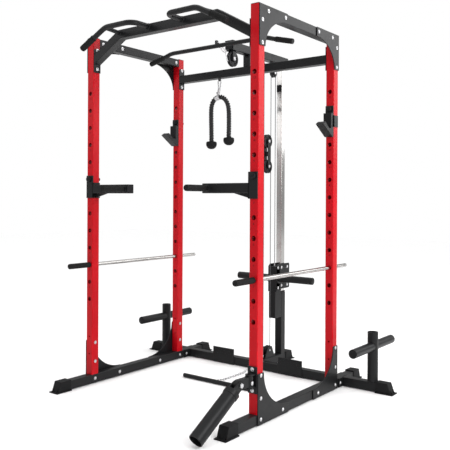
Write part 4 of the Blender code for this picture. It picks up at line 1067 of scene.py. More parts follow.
@dataclass
class Pulley:
    """A grooved nylon wheel with a web, a hub and a steel bolt."""

    node: str
    body: str
    y: float
    z: float
    pitch: float

    def build(self, cage: Cage) -> None:
        """Builds the wheel on its own body."""
        rim, groove = self.pitch + 0.0044, self.pitch - 0.0029
        web, hub = rim - 0.011, 0.013
        profile = [(0.0068, 0.0085), (hub, 0.0085), (hub + 0.001, 0.0045), (web - 0.001, 0.0045),
                   (web, 0.0088), (rim - 0.001, 0.0088), (rim, 0.0080), (groove + 0.002, 0.0034),
                   (groove, 0.0020)]
        ring = profile + [(radius, -height) for radius, height in reversed(profile)]
        wheel = Shape().turned(ring, (0.0, self.y, self.z), (1, 0, 0), 56)
        for spoke in range(6):
            angle = math.tau * spoke / 6
            first = Vector((0.0, math.cos(angle), math.sin(angle)))
            near, far = hub * 0.9, web + 0.0005
            for face in (-1, 1):
                wheel.rod(Vector((face * 0.0046, self.y, self.z)) + first * near,
                          Vector((face * 0.0046, self.y, self.z)) + first * far, 0.0022, 8, 0.0)
        cage.show(wheel, f"{self.node}_wheel", self.body, NYLON, [self.node], 40.0)


@dataclass
class Tower:
    """Cable tower: base beam, lower post, chrome guide, boom, brackets and pulleys."""

    cheek: float = 0.004
    inside: float = 0.0125
    width: float = 0.034
    tail: float = 0.014
    block_upper: float = 1.460
    block_lower: float = 1.296

    def pulleys(self, cage: Cage) -> dict[str, Pulley]:
        """The six pulleys."""
        run = cage.boom_low - 0.0072
        t = cage.tower_y
        small = (0.122 - 0.069) / 2
        return {
            "front": Pulley("front_pulley", "front_pulley", 0.205, run - 0.043, 0.043),
            "boom": Pulley("boom_pulley", "boom_pulley", t - 0.242, run - 0.040, 0.040),
            "top": Pulley("top_pulley", "top_pulley", t - 0.122 + small, cage.boom_low - 0.065, small),
            "upper": Pulley("floating_pulley_upper", "floating_pulley_upper", t - 0.162,
                            self.block_upper, 0.040),
            "lower": Pulley("floating_pulley_lower", "floating_pulley_lower", t - 0.162,
                            self.block_lower, 0.040),
            "low": Pulley("low_pulley", "low_pulley", t - 0.122 - small, 0.0735 + small, small),
        }

    def _bracket(self, shape: Shape, cage: Cage, pulley: Pulley, low: float, high: float,
                 body: str = "frame") -> None:
        """Two cheek plates and the axle of a pulley, with a bolt at each end."""
        outer = self.inside + self.cheek
        for side in Side:
            shape.block((side.value * self.inside, pulley.y - self.width / 2, low),
                        (side.value * outer, pulley.y + self.width / 2, high), 0.0008)
            cage.bolt((side.value * outer, pulley.y, pulley.z), (side.value, 0, 0), body)
        shape.rod((-outer, pulley.y, pulley.z), (outer, pulley.y, pulley.z), 0.006, 20, 0.0)

    def build(self, cage: Cage) -> None:
        """Builds the tower and its wheels."""
        h, t = cage.half, cage.tower_y
        wheels = self.pulleys(cage)
        base = Shape().bar((-h, cage.cross_y + h + GAP, 0.004), (h, t + 0.098, cage.base_top), Axis.Y)
        wheel = wheels["low"]
        self._bracket(base, cage, wheel, cage.base_top - 0.001, wheel.z + self.tail)
        for side in Side:
            outline = [(wheel.y - 0.056, cage.base_top - 0.001), (wheel.y + 0.056, cage.base_top - 0.001),
                       (wheel.y + 0.022, wheel.z + self.tail + 0.010),
                       (wheel.y - 0.022, wheel.z + self.tail + 0.010)]
            faces = sorted((side.value * (self.inside + 0.0005), side.value * (self.inside + 0.0065)))
            base.slab(outline, Axis.X, *faces)
        base.block((-0.006, t - 0.208, cage.base_top - 0.001), (0.006, t - 0.196, 0.062), 0.0008)
        cage.show(base, "tower_foot_beam", "frame", BLACK, ["tower_base"])
        foot = Shape()
        rubber_foot(foot, (0.0, t + 0.098, 0.0), 90)
        cage.show(foot, "tower_foot_cap", "frame", RUBBER)

        post = Shape().bar((-h, t - h, cage.base_top + GAP), (h, t + h, 0.462), Axis.Z)
        post.block((-h, t - 0.100, 0.300), (h, t - h + 0.001, 0.474), 0.0025)
        cage.show(post, "tower_lower_post", "frame", BLACK, ["lower_post"])

        guide = Shape().bar((-0.020, t - 0.020, cage.base_top + GAP),
                            (0.020, t + 0.020, cage.boom_low - GAP), Axis.Z, 0.003)
        cage.show(guide, "chrome_guide", "frame", CHROME, ["guide_tube"])
        collar_and_reflection_plate = Shape()
        # The first block is a dark plate on the guide's front face that stands in for a dark reflection in
        # the chrome: a painted reflection. The second block is a collar round the guide at the top of the
        # lower post.
        collar_and_reflection_plate.block((-0.0195, t - 0.0240, 1.800), (0.0195, t - 0.0195, 1.846), 0.0015)
        collar_and_reflection_plate.block((-0.0235, t - 0.0235, 0.4625), (0.0235, t + 0.0235, 0.4740), 0.002)
        cage.show(collar_and_reflection_plate, "guide_collar_and_reflection_plate", "frame", NYLON)

        low = cage.boom_low
        boom = Shape().bar((-h, 0.165, low), (h, t + 0.048, low + 2 * h), Axis.Y)
        y, cross = cage.end_y, cage.height - 0.110
        for side in Side:
            boom.block((side.value * 0.007, y - h, cross + GAP), (side.value * h, y + h, low + 0.001),
                       0.0006)
        boom.block((-0.0072, y - h, cross + GAP), (0.0072, y + h, low - 0.0145), 0.0004)
        for name in ("front", "boom", "top"):
            self._bracket(boom, cage, wheels[name], wheels[name].z - self.tail, low + 0.001)
        top, wide = low + 2 * h, h + 0.0055
        boom.block((-wide, 0.168, top + 0.0002), (wide, 0.236, top + 0.0055), 0.001)
        for side in Side:
            boom.block((side.value * (h + 0.0002), 0.172, low - 0.004),
                       (side.value * wide, 0.232, top + 0.0050), 0.001)
            for y in (0.183, 0.221):
                cage.bolt((side.value * 0.015, y, top + 0.0055), (0, 0, 1))
        cage.show(boom, "boom_beam", "frame", BLACK, ["top_boom"])
        caps = Shape()
        caps.block((-h + 0.001, 0.1625, low + 0.001), (h - 0.001, 0.166, low + 2 * h - 0.001), 0.0012)
        caps.block((-h + 0.001, t + 0.047, low + 0.001), (h - 0.001, t + 0.0505, low + 2 * h - 0.001),
                   0.0012)
        cage.show(caps, "boom_caps", "frame", NYLON)

        block = Shape()
        middle = (self.block_upper + self.block_lower) / 2
        y = wheels["upper"].y
        outer = self.inside + self.cheek
        for side in Side:
            outline = arc((y, self.block_upper), (0.017, self.tail), 0, 180, 12)
            outline += arc((y, self.block_lower), (0.017, self.tail), 180, 360, 12)
            faces = sorted((side.value * self.inside, side.value * outer))
            block.slab(outline, Axis.X, *faces, 0.0008)
            for z in (self.block_upper, self.block_lower):
                cage.bolt((side.value * outer, y, z), (side.value, 0, 0), "floating_block")
        for z in (self.block_upper, self.block_lower):
            block.rod((-outer, y, z), (outer, y, z), 0.006, 20, 0.0)
        block.block((-self.inside - 0.001, y - 0.008, middle - 0.015),
                    (self.inside + 0.001, y + 0.008, middle + 0.015), 0.001)
        cage.show(block, "pulley_block_plates", "floating_block", BLACK, ["floating_block"])
        for wheel in wheels.values():
            wheel.build(cage)


@dataclass
class Carriage:
    """Plate-loaded carriage: side plates, front block, pegs with caps, and four guide rollers."""

    plate_x: float = 0.0275
    plate: float = 0.005
    roller: float = 0.015
    levels: tuple[float, float] = (0.632, 0.512)
    peg_z: float = 0.5615
    peg: float = 0.023
    peg_end: float = 0.290

    def build(self, cage: Cage) -> None:
        """Builds the carriage on its body and the rollers on theirs."""
        t, out = cage.tower_y, self.plate_x + self.plate
        frame = Shape().block((-out, t - 0.097, 0.4743), (out, t - 0.054, 0.640), 0.0015)
        for side in Side:
            hand = side.value
            outline = [(t - 0.096, 0.4900), (t + 0.055, 0.490), (t + 0.063, 0.498),
                       (t + 0.063, 0.648), (t + 0.055, 0.656), (t - 0.080, 0.656),
                       (t - 0.096, 0.640)]
            faces = sorted((hand * self.plate_x, hand * out))
            frame.slab(outline, Axis.X, *faces)
            frame.rod((hand * self.plate_x, t - 0.069, self.peg_z),
                      (hand * (self.peg_end - 0.003), t - 0.069, self.peg_z), self.peg, 48, 0.001)
            frame.turned([(0.0, 0.006), (0.030, 0.006), (0.033, 0.003), (0.033, 0.0), (0.0, 0.0)],
                         (hand * out, t - 0.069, self.peg_z), (hand, 0, 0), 40)
        for end in End:
            y = t + end.value * (0.020 + GAP + self.roller)
            for z in self.levels:
                frame.rod((-out, y, z), (out, y, z), 0.006, 20, 0.0)
                for side in Side:
                    cage.bolt((side.value * out, y, z), (side.value, 0, 0), "carriage")
        for side in Side:
            for z in (0.632, 0.500):
                cage.bolt((side.value * out, t - 0.076, z), (side.value, 0, 0), "carriage")
        cage.show(frame, "carriage_frame", "carriage", BLACK, ["carriage"])
        caps = Shape()
        for side in Side:
            caps.turned([(0.0, 0.0030), (0.018, 0.0030), (0.0225, 0.0012), (0.023, 0.0), (0.0, 0.0)],
                        (side.value * (self.peg_end - 0.003), t - 0.069, self.peg_z),
                        (side.value, 0, 0), 40)
        cage.show(caps, "carriage_peg_caps", "carriage", NYLON)
        for end in End:
            y = t + end.value * (0.020 + GAP + self.roller)
            for name, z in zip(("upper", "lower"), self.levels):
                node = f"{name}_{end.label}_roller"
                r, w = self.roller, self.plate_x - 0.001
                ring = [(0.0072, w), (r - 0.0015, w), (r, w - 0.0015), (r, 1 - 1 + 0.004),
                        (r - 0.001, 0.003), (r - 0.001, -0.003), (r, -0.004), (r, 0.0015 - w),
                        (r - 0.0015, -w), (0.0072, -w)]
                wheel = Shape().turned(ring, (0.0, y, z), (1, 0, 0), 40)
                cage.show(wheel, f"{node}_tyre", node, NYLON, [node], 40.0)


@dataclass
class Cables:
    """Wire rope of the tower, in stretches that turn with what they run over."""

    radius: float = 0.0025
    spacing: float = 0.006

    def _around(self, pulley: Pulley, start: float, end: float, steps: int = 16) -> list[Vector]:
        """Centre line round a pulley; degrees from +Y towards +Z."""
        points = arc((pulley.y, pulley.z), (pulley.pitch, pulley.pitch), start, end, steps)
        return [Vector((0.0, y, z)) for y, z in points]

    def _run(self, cage: Cage, name: str, line: Sequence[Vector], body: str,
             replaces: Iterable[str] = ()) -> None:
        """A stretch that keeps its shape on one body."""
        path = even(line, self.spacing)
        shape = Shape().sweep(path, self.radius, 12, 6, 0.16, 0.045)
        cage.show(shape, name, body, WIRE, replaces, 70.0)

    def _strand(self, cage: Cage, name: str, start: Vector, end: Vector, bodies: tuple[str, str],
                replaces: Iterable[str] = ()) -> None:
        """A straight stretch between two bodies that move apart."""
        shape = Shape().sweep(even([start, end], self.spacing), self.radius, 12, 6, 0.16, 0.045)
        made = shape.object(name, WIRE, 70.0)
        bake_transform(made, *bodies, start=tuple(start + Shape.origin), end=tuple(end + Shape.origin))
        cage.name_piece(made, replaces)

    def build(self, cage: Cage, wheels: dict[str, Pulley]) -> None:
        """Builds every stretch, from the lat bar to the carriage and from the anchor to the chain."""
        front, boom, top = wheels["front"], wheels["boom"], wheels["top"]
        upper, lower, low = wheels["upper"], wheels["lower"], wheels["low"]
        over = self._around(front, 180, 90) + self._around(boom, 90, 0)
        self._run(cage, "cable_over_boom", over, "frame", ["upper_cable"])
        self._strand(cage, "cable_boom_to_block", over[-1], self._around(upper, 180, 180, 1)[0],
                     ("frame", "floating_block"))
        under = self._around(upper, -180, 0, 24)
        self._run(cage, "cable_under_block", under, "floating_block")
        crown = self._around(top, 180, 0, 24)
        self._strand(cage, "cable_block_to_top", crown[0], under[-1], ("frame", "floating_block"))
        self._run(cage, "cable_over_top", crown, "frame")
        hook = Vector((0.0, crown[-1].y, 0.640))
        self._strand(cage, "cable_to_carriage", crown[-1], hook, ("frame", "carriage"),
                     ["carriage_cable"])
        ferrule = Shape().turned([(0.0, 0.016), (0.004, 0.016), (0.0055, 0.012), (0.0055, 0.0),
                                  (0.0, 0.0)], hook, steps=20)
        cage.show(ferrule, "carriage_ferrule", "carriage", ZINC)
        drop = over[0]
        self._strand(cage, "cable_to_lat_bar", drop, drop - Vector((0, 0, 0.0143)),
                     ("frame", "lat_bar"), ["lat_cable"])

        anchor = Vector((0.0, cage.tower_y - 0.202, 0.0623))
        humped = self._around(lower, 180, 0, 24)
        self._strand(cage, "cable_anchor_to_block", anchor, humped[0], ("frame", "floating_block"),
                     ["lower_cable"])
        self._run(cage, "cable_over_block", humped, "floating_block")
        turned = self._around(low, 0, -90)
        self._strand(cage, "cable_block_to_floor", turned[0], humped[-1], ("frame", "floating_block"))
        self._run(cage, "cable_round_floor_pulley", turned, "frame")
        chain = Vector((0.0, cage.cross_y + 0.043, 0.0735))
        self._strand(cage, "cable_to_chain", turned[-1], chain, ("frame", "low_row"))
        end = Shape().turned([(0.0, 0.014), (0.004, 0.014), (0.006, 0.010), (0.006, 0.0), (0.0, 0.0)],
                             anchor - Vector((0, 0, 0.0005)), steps=20)
        cage.show(end, "anchor_ferrule", "frame", ZINC)


@dataclass
class LatBar:
    """Bent lat bar with its eye, end grips, carabiner and cable fitting."""

    y: float = 0.045
    radius: float = 0.0125
    bend_x: float = 0.360
    end_x: float = 0.525

    def build(self, cage: Cage, front: Pulley) -> None:
        """Builds the bar and the hardware that hooks it to the cable."""
        z = cage.boom_low - 0.002
        half = [Vector((self.end_x, self.y, z - 0.046)), Vector((self.bend_x + 0.030, self.y, z - 0.012)),
                Vector((self.bend_x, self.y, z - 0.003)), Vector((self.bend_x - 0.030, self.y, z))]
        bend = [half[0], half[1].lerp(half[0], 0.05), *flow(half[1:], 0.008)[1:]]
        left = [Vector((-p.x, p.y, p.z)) for p in bend]
        bar = Shape().sweep(left + bend[::-1], self.radius, 28)
        eye = Vector((0.0, self.y + 0.008, z + 0.022))
        lug = Shape().slab([(self.y - 0.009, z), (self.y + 0.018, z), (self.y + 0.018, z + 0.028),
                            (self.y + 0.013, z + 0.034), (self.y - 0.004, z + 0.034),
                            (self.y - 0.009, z + 0.028)], Axis.X, -0.0035, 0.0035)
        lug.carve(Shape().rod(eye - Vector((0.02, 0, 0)), eye + Vector((0.02, 0, 0)), 0.0049, 20, 0.0))
        cage.show(bar, "lat_bar_tube", "lat_bar", BLACK, ["lat_bar"])
        cage.show(lug, "lat_bar_eye", "lat_bar", BLACK, (), 35.0)
        grips = Shape()
        for side in Side:
            outer = Vector((side.value * half[0].x, half[0].y, half[0].z))
            inner = Vector((side.value * half[1].x, half[1].y, half[1].z))
            along = (inner - outer).normalized()
            grips.rod(outer + along * 0.001, outer + along * 0.115, self.radius + 0.0022, 32, 0.0015)
            for ring in range(9):
                at = outer + along * (0.012 + 0.0115 * ring)
                grips.rod(at, at + along * 0.004, self.radius + 0.0028, 32, 0.0004)
        cage.show(grips, "lat_bar_grips", "lat_bar", GRIP)
        end = Vector((0.0, self.y + 0.0895, z - 0.0195))
        hook = Shape().link(eye, end, 0.010, (1, 0, 0), 0.0036, 8, 12)
        along = (end - eye).normalized()
        side = Vector((0.010, 0, 0))
        hook.rod(eye + along * 0.030 + side, eye + along * 0.052 + side, 0.0042, 16)
        drop, low = front.y - front.pitch, front.z - 0.0143
        hook.sweep([(0.0, drop, low), (0.0, drop, low - 0.005), (0.0, drop - 0.009, low - 0.004), end],
                   0.0032, 14)
        cage.show(hook, "lat_bar_carabiner", "lat_bar", ZINC, ["lat_carabiner"], 60.0)


@dataclass
class LowRow:
    """Straight row bar on the floor and the welded chain that leads to the low pulley."""

    y: float = 0.050
    half: float = 0.240
    radius: float = 0.0125
    wire: float = 0.0022
    link: float = 0.0250

    def build(self, cage: Cage) -> None:
        """Builds the bar with its lug and middle sleeve, its end caps and the chain."""
        z = self.radius + GAP
        bar = Shape().rod((-self.half + 0.002, self.y, z), (self.half - 0.002, self.y, z), self.radius, 32)
        bar.block((-0.0035, self.y, z - 0.006), (0.0035, self.y + 0.030, z + 0.006), 0.001)
        bar.rod((-0.012, self.y, z), (0.012, self.y, z), self.radius + 0.0002, 32, 0.0)
        cage.show(bar, "row_bar_tube", "low_row", BLACK, ["low_row_bar"])
        caps = Shape()
        for side in Side:
            caps.turned([(0.0, 0.002), (0.009, 0.002), (0.0120, 0.0008), (0.0125, -0.001), (0.0, -0.001)],
                        (side.value * (self.half - 0.002), self.y, z), (side.value, 0, 0), 32)
        cage.show(caps, "row_bar_caps", "low_row", NYLON)
        start, rest, end = self.y + 0.0303, 0.0073, cage.cross_y + 0.043
        route = [(0, start, z), (0, start + 0.02, z), (0, start + 0.06, rest), (0, 0.340, rest),
                 (0, 0.380, 0.017), (0, 0.410, 0.034), (0, 0.445, 0.060), (0, 0.475, 0.0725),
                 (0, 0.500, 0.0735), (0, end, 0.0735)]
        line = even(route, self.link)
        chain = Shape()
        for index, (first, last) in enumerate(zip(line, line[1:])):
            along = (last - first).normalized()
            flat = Vector((1, 0, 0))
            across = flat if index % 2 else along.cross(flat)
            reach = along * (self.wire + 0.0006)
            chain.link(first - reach, last + reach, 0.0050, across, self.wire, 5, 10)
        cage.show(chain, "row_chain_links", "low_row", ZINC, ["row_chain"], 60.0)


@dataclass
class TricepsRope:
    """Twisted rope held by a steel sleeve under the crossbeam, with rubber ends."""

    x: float = -0.231
    radius: float = 0.0158
    spacing: float = 0.003
    lay: float = 0.048
    left: tuple = ((-0.0445, -0.1340), (-0.0590, -0.1560), (-0.0668, -0.1900), (-0.0672, -0.2500),
                   (-0.0655, -0.3200), (-0.0645, -0.3720), (-0.0645, -0.3980))
    right: tuple = ((0.0240, -0.1220), (0.0480, -0.1390), (0.0670, -0.1690), (0.0755, -0.2100),
                    (0.0775, -0.2600), (0.0775, -0.3200), (0.0765, -0.3530), (0.0765, -0.3790))

    def _place(self, cage: Cage, point: Point) -> Vector:
        """A point in the rope's plane, from the staple."""
        return Vector((self.x + point[0], cage.end_y, cage.height - 0.160 + point[1]))

    def build(self, cage: Cage) -> None:
        """Builds the hanger, both halves of the rope and the rubber ends."""
        first, last = self._place(cage, (-0.0300, -0.1255)), self._place(cage, (0.0040, -0.1185))
        middle, along = (first + last) / 2, (last - first).normalized()
        hanger = Shape().turned([(0.0131, 0.0), (0.0165, 0.0), (0.0175, 0.0015), (0.0175, 0.0332),
                                 (0.0165, 0.0347), (0.0131, 0.0347)], first, along, 36)
        up = Vector((0, 0, 1))
        top = self._place(cage, (-0.002, -0.066))
        hanger.rod(middle + up * 0.0165, top, 0.0085, 28)
        hanger.rod(middle + up * 0.026, middle + up * 0.036, 0.0110, 28, 0.002)
        hook = self._place(cage, (0.0, -0.0065))
        hanger.link(hook, top - up * 0.004, 0.0065, (1, 0, 0), 0.0034, 8, 12, 0.0115)
        hanger.rod(hook + Vector((0.0105, 0, -0.014)), top + Vector((0.0075, 0, 0.010)), 0.0046, 16)
        hanger.turned([(0.0, 0.007), (0.0045, 0.007), (0.0075, 0.004), (0.0080, 0.0), (0.0075, -0.004),
                       (0.0045, -0.007), (0.0, -0.007)], top, steps=24)
        cage.show(hanger, "rope_hanger", "rope", ZINC, ["rope_clamp"])
        for side, route in ((Side.LEFT, self.left), (Side.RIGHT, self.right)):
            way = along * side.value
            start = middle + way * GAP / 2
            mouth = middle + way * 0.019
            line = [start, *flow([mouth, *(self._place(cage, point) for point in route)], self.spacing)]
            path = even(line, self.spacing)
            strand = Shape().sweep(path, self.radius, 30, 3, 0.46, self.lay)
            half = cage.show(strand, f"rope_half_{side.label}", "rope", CORD,
                             [f"rope_strand_{side.label}"], 70.0)
            end = path[-1]
            cup = Shape().turned([(0.0, -0.0003), (0.015, -0.0003), (0.0165, -0.004), (0.026, -0.005),
                                  (0.0325, -0.008), (0.0348, -0.014), (0.0350, -0.026),
                                  (0.0325, -0.036), (0.0265, -0.045), (0.0175, -0.0515),
                                  (0.0085, -0.0540), (0.0, -0.0543)], end, steps=40)
            ball = cage.show(cup, f"rope_end_{side.label}", "rope", RUBBER,
                             [f"rope_ball_{side.label}"], 40.0)
            placed = [point + Shape.origin for point in path]
            line_length(placed)


@dataclass
class Attachments:
    """Bar hooks, dip arms and safety bars on the uprights."""

    pin: float = 0.011
    knob: float = 0.016
    tail: float = 0.020

    def _pin(self, shape: Shape, knobs: Shape, x: float, face: float, back: float, z: float) -> None:
        """A locating pin through an upright, with a turned knob in front."""
        shape.rod((x, face - 0.002, z), (x, back + self.tail, z), self.pin, 28, 0.0025)
        knobs.turned([(0.0, 0.016), (0.011, 0.016), (0.0155, 0.013), (0.016, 0.010), (0.0145, 0.007),
                      (0.016, 0.004), (0.0155, 0.0), (0.0, 0.0)], (x, face - 0.004, z), (0, -1, 0), 32)

    def build(self, cage: Cage, levels: Sequence[float]) -> None:
        """Builds every attachment."""
        for side in Side:
            self._hook(cage, side, levels[1])
            self._dip_arm(cage, side, levels[5])
            self._safety_bar(cage, side, levels[10])

    def _hook(self, cage: Cage, side: Side, level: float) -> None:
        """A bar hook with a plastic liner where the bar rests."""
        hand, x = side.value, side.value * cage.side_x
        face = cage.end_y - cage.half - GAP
        front = face - 0.006
        outline = [(face, 1.438), (face, 1.615), (front, 1.615), (front, 1.572), (face - 0.029, 1.572),
                   (face - 0.029, 1.484), (face - 0.052, 1.484), (face - 0.094, 1.516),
                   (face - 0.118, 1.503), (face - 0.016, 1.438)]
        hook, knobs = Shape().slab(outline, Axis.X, x - 0.025, x + 0.025, 0.0012), Shape()
        out = hand * (cage.outer_x + GAP + 0.005)
        hook.block((x, front, 1.495), (out, face, 1.560), 0.001)
        hook.block((hand * (cage.outer_x + GAP), front, 1.495), (out, face + 0.0423, 1.560), 0.001)
        self._pin(hook, knobs, x, face, cage.end_y + cage.half, level)
        label = side.label
        cage.show(hook, f"bar_hook_{label}", f"jcup_{label}", BLACK, [f"jcup_{label}"])
        cage.show(knobs, f"bar_hook_knob_{label}", f"jcup_{label}", NYLON)
        seat = [(face - 0.029, 1.568), (face - 0.0305, 1.568), (face - 0.0305, 1.4858),
                (face - 0.0522, 1.4858), (face - 0.0938, 1.5178), (face - 0.1140, 1.5066),
                (face - 0.1140, 1.5052), (face - 0.094, 1.516), (face - 0.052, 1.484),
                (face - 0.029, 1.484)]
        liner = Shape().slab(seat, Axis.X, x - 0.0235, x + 0.0235, 0.0003)
        cage.show(liner, f"bar_hook_liner_{label}", f"jcup_{label}", NYLON)

    def _dip_arm(self, cage: Cage, side: Side, level: float) -> None:
        """A dip arm: bracket, cheek, square arm, brace, handle with grip, and pin."""
        hand, x = side.value, side.value * cage.side_x
        face = cage.front_face - GAP
        front, inner, z = face - 0.006, cage.inner_x - GAP, 1.137
        arm, knobs, h = Shape(), Shape(), cage.half
        arm.block((hand * (cage.outer_x - 0.001), front, level - 0.110), (hand * (inner - 0.005), face,
                                                                        level + 0.020), 0.001)
        arm.block((hand * inner, front, level - 0.110), (hand * (inner - 0.005), -cage.end_y + h,
                                                         level - 0.020), 0.0008)
        end = cage.inner_x - 0.288
        y = front + h
        arm.bar((hand * (inner - 0.0025), y - h, z - h), (hand * end, y + h, z + h), Axis.X)
        brace = [(hand * (inner - 0.0025), level - 0.110), (hand * (inner - 0.110), z - h + 0.001),
                 (hand * (inner - 0.0025), z - h + 0.001)]
        arm.slab(brace, Axis.Y, y - 0.003, y + 0.003, 0.0005)
        handle_x, tip = hand * (end + 0.027), cage.front_face - 0.1665
        arm.rod((handle_x, front + 0.001, z), (handle_x, tip + 0.004, z), 0.0135, 32)
        arm.turned([(0.0, 0.003), (0.017, 0.003), (0.020, 0.0), (0.0, 0.0)], (handle_x, front, z),
                   (0, -1, 0), 32)
        self._pin(arm, knobs, x, face, -cage.end_y + h, level)
        label = side.label
        body = f"dip_arm_{label}"
        cage.show(arm, f"dip_frame_{label}", body, BLACK, [body])
        knobs.block((hand * (end - 0.002), y - h + 0.001, z - h + 0.001),
                    (hand * (end + 0.002), y + h - 0.001, z + h - 0.001), 0.0012)
        cage.show(knobs, f"dip_knob_{label}", body, NYLON)
        grip = Shape().rod((handle_x, front - 0.012, z), (handle_x, tip, z), 0.0160, 32, 0.003)
        for ring in range(11):
            y_ring = front - 0.020 - 0.0125 * ring
            grip.rod((handle_x, y_ring, z), (handle_x, y_ring - 0.005, z), 0.0166, 32, 0.0005)
        cage.show(grip, f"dip_grip_{label}", body, GRIP)

    def _safety_bar(self, cage: Cage, side: Side, level: float) -> None:
        """A chrome safety bar with a ribbed grip."""
        x, face = side.value * cage.side_x, cage.front_face - GAP
        body = f"safety_bar_{side.label}"
        bar = Shape().rod((x, face - 0.140, level), (x, cage.end_y + 0.1755, level), 0.011, 36, 0.002)
        cage.show(bar, f"safety_rod_{side.label}", body, BRIGHT_BAR, [body])
        grip = Shape().rod((x, face, level), (x, face - 0.151, level), 0.0150, 32, 0.003)
        for ring in range(13):
            y = face - 0.006 - 0.011 * ring
            grip.rod((x, y, level), (x, y - 0.0055, level), 0.0155, 32, 0.0006)
        cage.show(grip, f"safety_grip_{side.label}", body, GRIP)


@dataclass
class Landmine:
    """Swivelling press sleeve low on the front right upright."""

    pin_out: float = 0.034
    pivot_out: float = 0.080
    z: float = 0.219
    length: float = 0.335
    radius: float = 0.0355
    bore: float = 0.0305
    yaw: float = math.radians(5)
    clear: float = 0.001

    def build(self, cage: Cage) -> None:
        """Builds the bracket, the swivel and the sleeve, turned as they rest."""
        x, z, face = cage.side_x, self.z, cage.front_face - GAP
        pin_y = cage.front_face - self.pin_out
        bracket = Shape().block((x - 0.027, face - 0.006, z - 0.064), (x + 0.027, face, z + 0.065), 0.0015)
        for low in (z + 0.026, z - 0.034):
            tab = [(x - 0.018, face - 0.004), (x - 0.018, pin_y),
                   *arc((x, pin_y), (0.018, 0.016), 180, 360, 12), (x + 0.018, face - 0.004)]
            bracket.slab(tab, Axis.Z, low, low + 0.008, 0.0008)
        bracket.rod((x, pin_y, z - 0.034), (x, pin_y, z + 0.034), 0.008, 28)
        cage.show(bracket, "landmine_mount", "frame", BLACK, ["landmine_bracket"])
        for level in (z + 0.052, z - 0.050):
            cage.bolt((x, face - 0.006, level), (0, -1, 0))

        pivot = Vector((x, pin_y - self.pivot_out, z))
        swivel = Shape().turned([(0.0086, 0.0253), (0.0185, 0.0253), (0.0200, 0.0238),
                                 (0.0200, -0.0238), (0.0185, -0.0253), (0.0086, -0.0253)],
                                (x, pin_y, z), steps=36)
        swivel.block((x - 0.013, pivot.y, z - 0.0235), (x + 0.013, pin_y - 0.010, z + 0.0235), 0.002)
        swivel.rod((x - 0.013, pivot.y, z), (x + 0.013, pivot.y, z), 0.0235, 40, 0.002)
        yaw = self._about(Vector((x, pin_y, z)), -self.yaw, "Z")
        cage.show(swivel.turn(yaw), "landmine_knuckle", "landmine_swivel", BLACK, ["landmine_swivel"])
        cage.bolt((x + 0.0195, pin_y, z - 0.006), (1, 0, 0), "landmine_swivel")
        pin = Shape().rod((x - 0.028, pivot.y, z), (x + 0.028, pivot.y, z), 0.007, 24, 0.001)
        for side in Side:
            pin.rod((x + side.value * 0.021, pivot.y, z), (x + side.value * 0.0275, pivot.y, z), 0.012, 6)
        cage.show(pin.turn(yaw), "landmine_pin", "landmine_swivel", ZINC)

        start = 0.045
        r, b, end = self.radius, self.bore, self.length
        sleeve = Shape().turned([(0.0, start), (r - 0.002, start), (r, start + 0.002), (r, end - 0.002),
                                 (r - 0.0015, end), (b + 0.001, end), (b, end - 0.002),
                                 (b, start + 0.006), (0.0, start + 0.006)], pivot, (0, -1, 0), 48)
        sleeve.turned([(r - 0.001, end - 0.030), (r + 0.0004, end - 0.030), (r + 0.0004, end - 0.022),
                       (r - 0.001, end - 0.022)], pivot, (0, -1, 0), 48)
        sleeve.turned([(r - 0.001, start - 0.001), (r + 0.003, start + 0.001),
                       (r + 0.003, start + 0.024), (r - 0.001, start + 0.027)], pivot, (0, -1, 0), 48)
        for side in Side:
            near, far = pivot.x + side.value * 0.0135, pivot.x + side.value * 0.0205
            outline = [(pivot.y - start - 0.002, z - 0.024), (pivot.y - start - 0.002, z + 0.024),
                       *arc((pivot.y, z), (0.014, 0.019), 90, -90, 12)]
            sleeve.slab(outline, Axis.X, *sorted((near, far)), 0.0008)
        reach = math.hypot(self.length, r)
        droop = math.asin((z - self.clear) / reach) - math.atan2(r, self.length)
        sleeve.turn(self._about(pivot, droop, "X")).turn(yaw)
        cage.show(sleeve, "landmine_tube", "landmine_sleeve", BLACK, ["landmine_sleeve"])

    def _about(self, place: Vector, angle: float, axis: str) -> Matrix:
        """A turn about an axis through a place."""
        return Matrix.Translation(place) @ Matrix.Rotation(angle, 4, axis) @ Matrix.Translation(-place)


@dataclass
class Fasteners:
    """Domed bolt heads on flat washers, one piece for each body that carries them."""

    head: tuple = ((0.0, 0.0062), (0.0030, 0.0059), (0.0058, 0.0045), (0.0078, 0.0022),
                   (0.0082, 0.0012), (0.0108, 0.0012), (0.0112, 0.0006), (0.0112, -0.0004),
                   (0.0, -0.0004))
    size: float = 0.88

    def build(self, cage: Cage) -> None:
        """Builds all heads that the sub-assemblies asked for."""
        profile = [(radius * self.size, height * self.size) for radius, height in self.head]
        base = Shape().turned(profile, (0, 0, 0), steps=14)
        mesh = bpy.data.meshes.new("bolt_head")
        base.mesh.to_mesh(mesh)
        for body in sorted({entry[2] for entry in cage.bolts}):
            heads = Shape()
            for place, direction, owner in cage.bolts:
                if owner == body:
                    heads.add(mesh, facing(place, direction))
            cage.show(heads, f"bolts_{body}", body, ZINC, (), 40.0)


